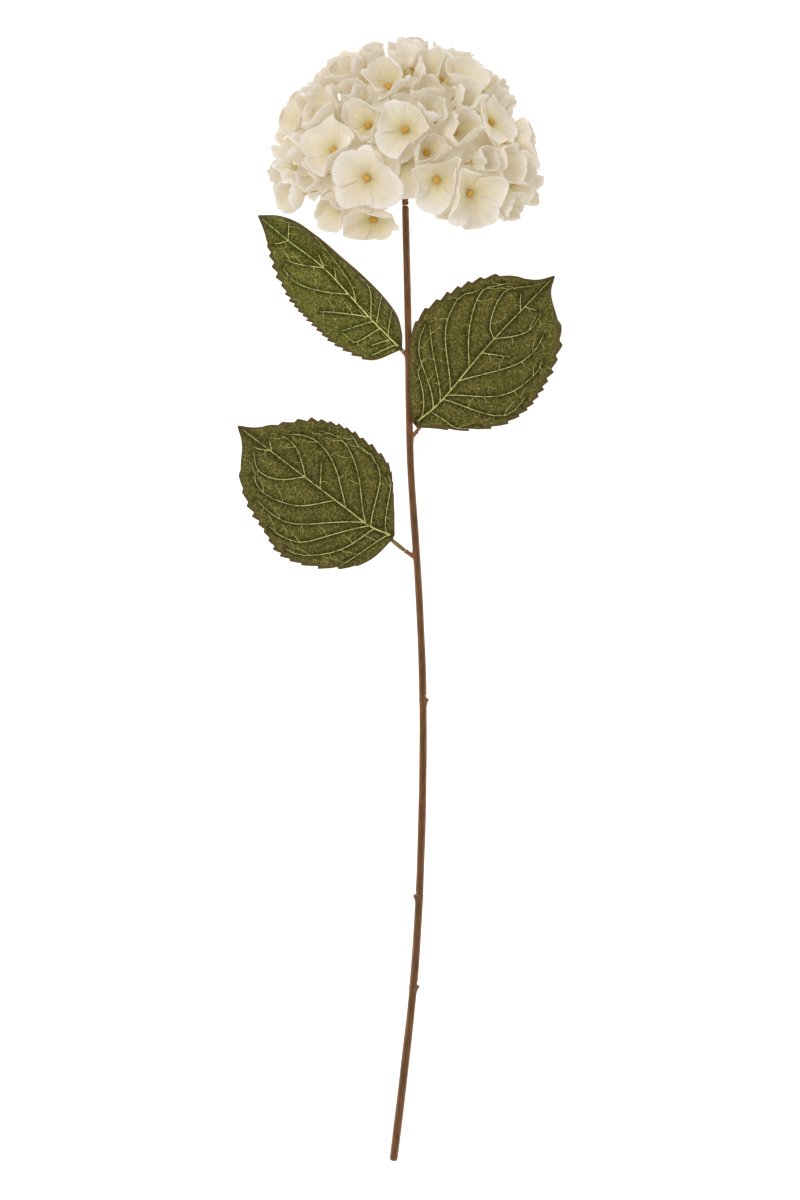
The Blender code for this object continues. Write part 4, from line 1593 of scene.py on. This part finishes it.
floret_draw = random.Random(4)
florets = [make_floret(index, floret_draw) for index in range(len(PLACES))]
bpy.data.objects.remove(blank)
print("florets formed:", len(florets), "points each:", len(florets[0].data.vertices))

# %% [markdown]
# ## The finish of the petals
# The cloth is a soft cream, yellow-green down in the throat, with faint streaks that fan out along
# each petal and a weave too fine to see from far off. The warm cream well out along the petal is
# painted shade for the deeper parts of the head, and the whiter edge is partly a painted highlight.
# Its own UV map runs out along the petal, so the colour and the streaks follow it. Thin cloth also
# lets a little light through, and a faint warm glow of its own stands for that.

# %% Petal cloth
petal_cloth, tree, shader, where = start_finish("cream petal cloth")
petal = add_node(tree, "ShaderNodeSeparateXYZ", {0: where.outputs["UV"]})
cloud = noise(tree, where.outputs["Object"], 28.0, 2.0)
out = math_node(tree, "ADD", petal.outputs[1], math_node(tree, "MULTIPLY", cloud, 0.16))
# The yellow-green throat is the cloth's own; the warm cream beyond it is painted shade, and the whitest
# tip is partly a painted highlight.
throat_and_painted_light = ramp_node(
    tree,
    out,
    [
        (0.06, (0.50, 0.38, 0.07)),
        (0.18, (0.66, 0.57, 0.22)),
        (0.36, (0.75, 0.68, 0.435)),
        (0.58, (0.785, 0.728, 0.582)),
        (0.85, (0.805, 0.758, 0.675)),
        (1.0, (0.86, 0.835, 0.805)),
    ],
)
blush = mix_colours(tree, band(tree, cloud, 0.35, 0.7), (1.0, 1.0, 1.0), (0.97, 0.945, 0.93))
colour = mix_colours(tree, 1.0, throat_and_painted_light, blush, "MULTIPLY")
fan = noise(tree, stretched(tree, where.outputs["UV"], (34, 2.2, 1)), 1.0, 3.0, 0.6)
colour = mix_colours(tree, band(tree, fan, 0.42, 0.75), colour, (0.935, 0.91, 0.865), "MULTIPLY")
tree.links.new(colour, shader.inputs["Base Color"])
weave_a = noise(tree, stretched(tree, where.outputs["UV"], (150, 12, 1)), 1.0, 2.0)
weave_b = noise(tree, stretched(tree, where.outputs["UV"], (12, 150, 1)), 1.0, 2.0)
weave = math_node(tree, "MULTIPLY", math_node(tree, "ADD", weave_a, weave_b), 0.5)
cloth = math_node(tree, "ADD", math_node(tree, "MULTIPLY", fan, 3.0), weave)
bump(tree, shader, cloth, 0.00026)
shader.inputs["Roughness"].default_value = 0.85
shader.inputs["Specular IOR Level"].default_value = 0.2
shader.inputs["Sheen Weight"].default_value = 0.12
shader.inputs["Emission Color"].default_value = (1.0, 0.885, 0.65, 1)
shader.inputs["Emission Strength"].default_value = 0.15
for index, floret in enumerate(florets):
    if index < PACKED_FLORETS:
        stand_for(floret, f"floret_{index + 1:02d}", [petal_cloth])
    else:
        floret.data.materials.clear()
        floret.data.materials.append(petal_cloth)
        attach(floret, "root")
print("finish:", petal_cloth.name)

# %% [markdown]
# ## The sprays inside the head
# Seven plastic sprays push into the wrap by their shanks. Each forks into thin branches, and
# each branch ends in an ochre bead that holds a floret on, like the bud in a real floret's
# middle. Between the florets, a few bare brown twigs show. The branches are wires, and the bead
# is modelled once and copied.

# %% Branches
PIPS_EACH = 6  # packed florets on each spray
SHANK_RADIUS = 0.5
SHANK_RING = 1.3
SHANK_TURNS = (60, -30)  # degrees from one shank to the next round the middle one, and the first
SHANK_TOP = 12.5
FORK_RADIUS = 34.0
FORK_KNOB = 1.5
BRANCH_RADIUS = 0.55
BRANCH_STRAIGHT = 0.72
BEAD_RADIUS = 2.6
BEAD_FOOT = 0.7  # above the floret's seat


def sprays():
    """Which florets each spray carries: the topmost on the middle one, the rest in order round.

    A floret that isn't packed goes to the spray whose middle is nearest.
    """
    packed = range(PACKED_FLORETS)
    order = sorted(packed, key=lambda i: -PLACES[i][1])
    groups = [order[:PIPS_EACH]]
    rest = sorted(order[PIPS_EACH:], key=lambda i: PLACES[i][0] % 360)
    for first in range(0, len(rest), PIPS_EACH):
        groups.append(rest[first : first + PIPS_EACH])
    middles = [DIRECTIONS[group].mean(axis=0) for group in groups]
    for index in range(PACKED_FLORETS, len(PLACES)):
        nearest = max(range(len(groups)), key=lambda g: DIRECTIONS[index] @ middles[g])
        groups[nearest].append(index)
    return groups


def shank_run(number, fork):
    offset = np.zeros(3)
    if number > 0:
        turn = math.radians(SHANK_TURNS[0] * number + SHANK_TURNS[1])
        offset = (ACROSS * math.sin(turn) + OUT * math.cos(turn)) * SHANK_RING
    foot = stem_top + UP * GAP + offset
    spread = stem_top + UP * SHANK_TOP + offset
    middle = (foot + spread) / 2
    return smooth_run([(*p, SHANK_RADIUS) for p in (foot, middle, spread, fork)], 5)


def branch_run(fork, index):
    out = DIRECTIONS[index]
    on = HUB + out * (BRANCH_STRAIGHT * SEATS[index])
    end = HUB + out * (SEATS[index] + BEAD_FOOT + 1.0)
    near = HUB + out * (SEATS[index] - 4)
    return smooth_run([(*p, BRANCH_RADIUS) for p in (fork, on, near, end)], 4)


# %% The bead, modelled once
def model_bead():
    """A round bud with four shallow grooves and a dimple on top, standing on z = 0."""
    start_fresh()
    bpy.ops.mesh.primitive_uv_sphere_add(segments=20, ring_count=12, radius=BEAD_RADIUS)
    bead = bpy.context.object
    points = mesh_points(bead)
    angle = np.arctan2(points[:, 1], points[:, 0])
    top = np.clip(points[:, 2] / BEAD_RADIUS, 0, 1)
    groove = 1 - 0.10 * np.abs(np.cos(2 * angle)) ** 6 * (1 - (1 - top) ** 3)
    points[:, :2] *= groove[:, None]
    points[:, 2] *= 0.86
    points[:, 2] -= 0.45 * np.exp(-((np.hypot(points[:, 0], points[:, 1]) / 0.9) ** 2)) * (top > 0.3)
    points[:, 2] += 0.86 * BEAD_RADIUS
    bead.data.vertices.foreach_set("co", points.astype(np.float32).ravel())
    bead.data.update()
    bead.name = "bead"
    return bead


def copy_bead(bead, index):
    """A copy of the bead on its floret, turned to face outwards."""
    out = DIRECTIONS[index]
    made = bpy.data.objects.new("bead", bead.data.copy())
    bpy.context.scene.collection.objects.link(made)
    turn = Vector(out).to_track_quat("Z", "Y").to_matrix().to_4x4()
    foot = placed(HUB + out * (SEATS[index] + BEAD_FOOT))
    made.data.transform(Matrix.Translation(Vector(foot)) @ turn @ Matrix.Scale(MM, 4))
    return made


bead = model_bead()
print("bead points:", len(bead.data.vertices))

# %% Finishes of the sprays
bead_paint, tree, shader, where = start_finish("ochre bead")
speck = noise(tree, where.outputs["Object"], 900.0, 4.0, 0.65)
ochre = ramp_node(
    tree, speck, [(0.28, (0.36, 0.15, 0.012)), (0.5, (0.74, 0.41, 0.045)), (0.72, (0.88, 0.60, 0.13))]
)
tree.links.new(ochre, shader.inputs["Base Color"])
shader.inputs["Roughness"].default_value = 0.6
bump(tree, shader, speck, 0.0003)

twig_plastic, tree, shader, where = start_finish("spray plastic")
speck = noise(tree, where.outputs["Object"], 300.0, 3.0)
olive = ramp_node(tree, speck, [(0.3, (0.50, 0.40, 0.13)), (0.7, (0.70, 0.62, 0.28))])
tree.links.new(olive, shader.inputs["Base Color"])
shader.inputs["Roughness"].default_value = 0.5
bump(tree, shader, speck, 0.0001)
print("finishes:", bead_paint.name, "and", twig_plastic.name)


# %% Build the seven sprays
def build_spray(number, group):
    middle = DIRECTIONS[group].sum(axis=0)
    middle = UP if number == 0 else middle / np.linalg.norm(middle)
    fork = HUB + middle * FORK_RADIUS
    spray = draw_wire(f"spray_{number + 1}", shank_run(number, fork))
    extras = [draw_wire("branch", branch_run(fork, index)) for index in group]
    start_fresh()
    bpy.ops.mesh.primitive_uv_sphere_add(
        segments=16, ring_count=10, radius=FORK_KNOB * MM, location=Vector(placed(fork))
    )
    extras.append(bpy.context.object)
    settle(extras[-1])
    beads = [copy_bead(bead, index) for index in group]
    for piece in [spray, *extras]:
        piece.data.materials.clear()
        piece.data.materials.append(twig_plastic)
    for piece in beads:
        piece.data.materials.clear()
        piece.data.materials.append(bead_paint)
    join_into(spray, extras + beads)
    choose(spray)
    bpy.ops.object.shade_smooth()
    return spray


for number, group in enumerate(sprays()):
    spray = build_spray(number, group)
    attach(spray, "root")
    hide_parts(f"sprig_{number + 1}")
    print(spray.name, "carries florets", [index + 1 for index in group])
bpy.data.objects.remove(bead)
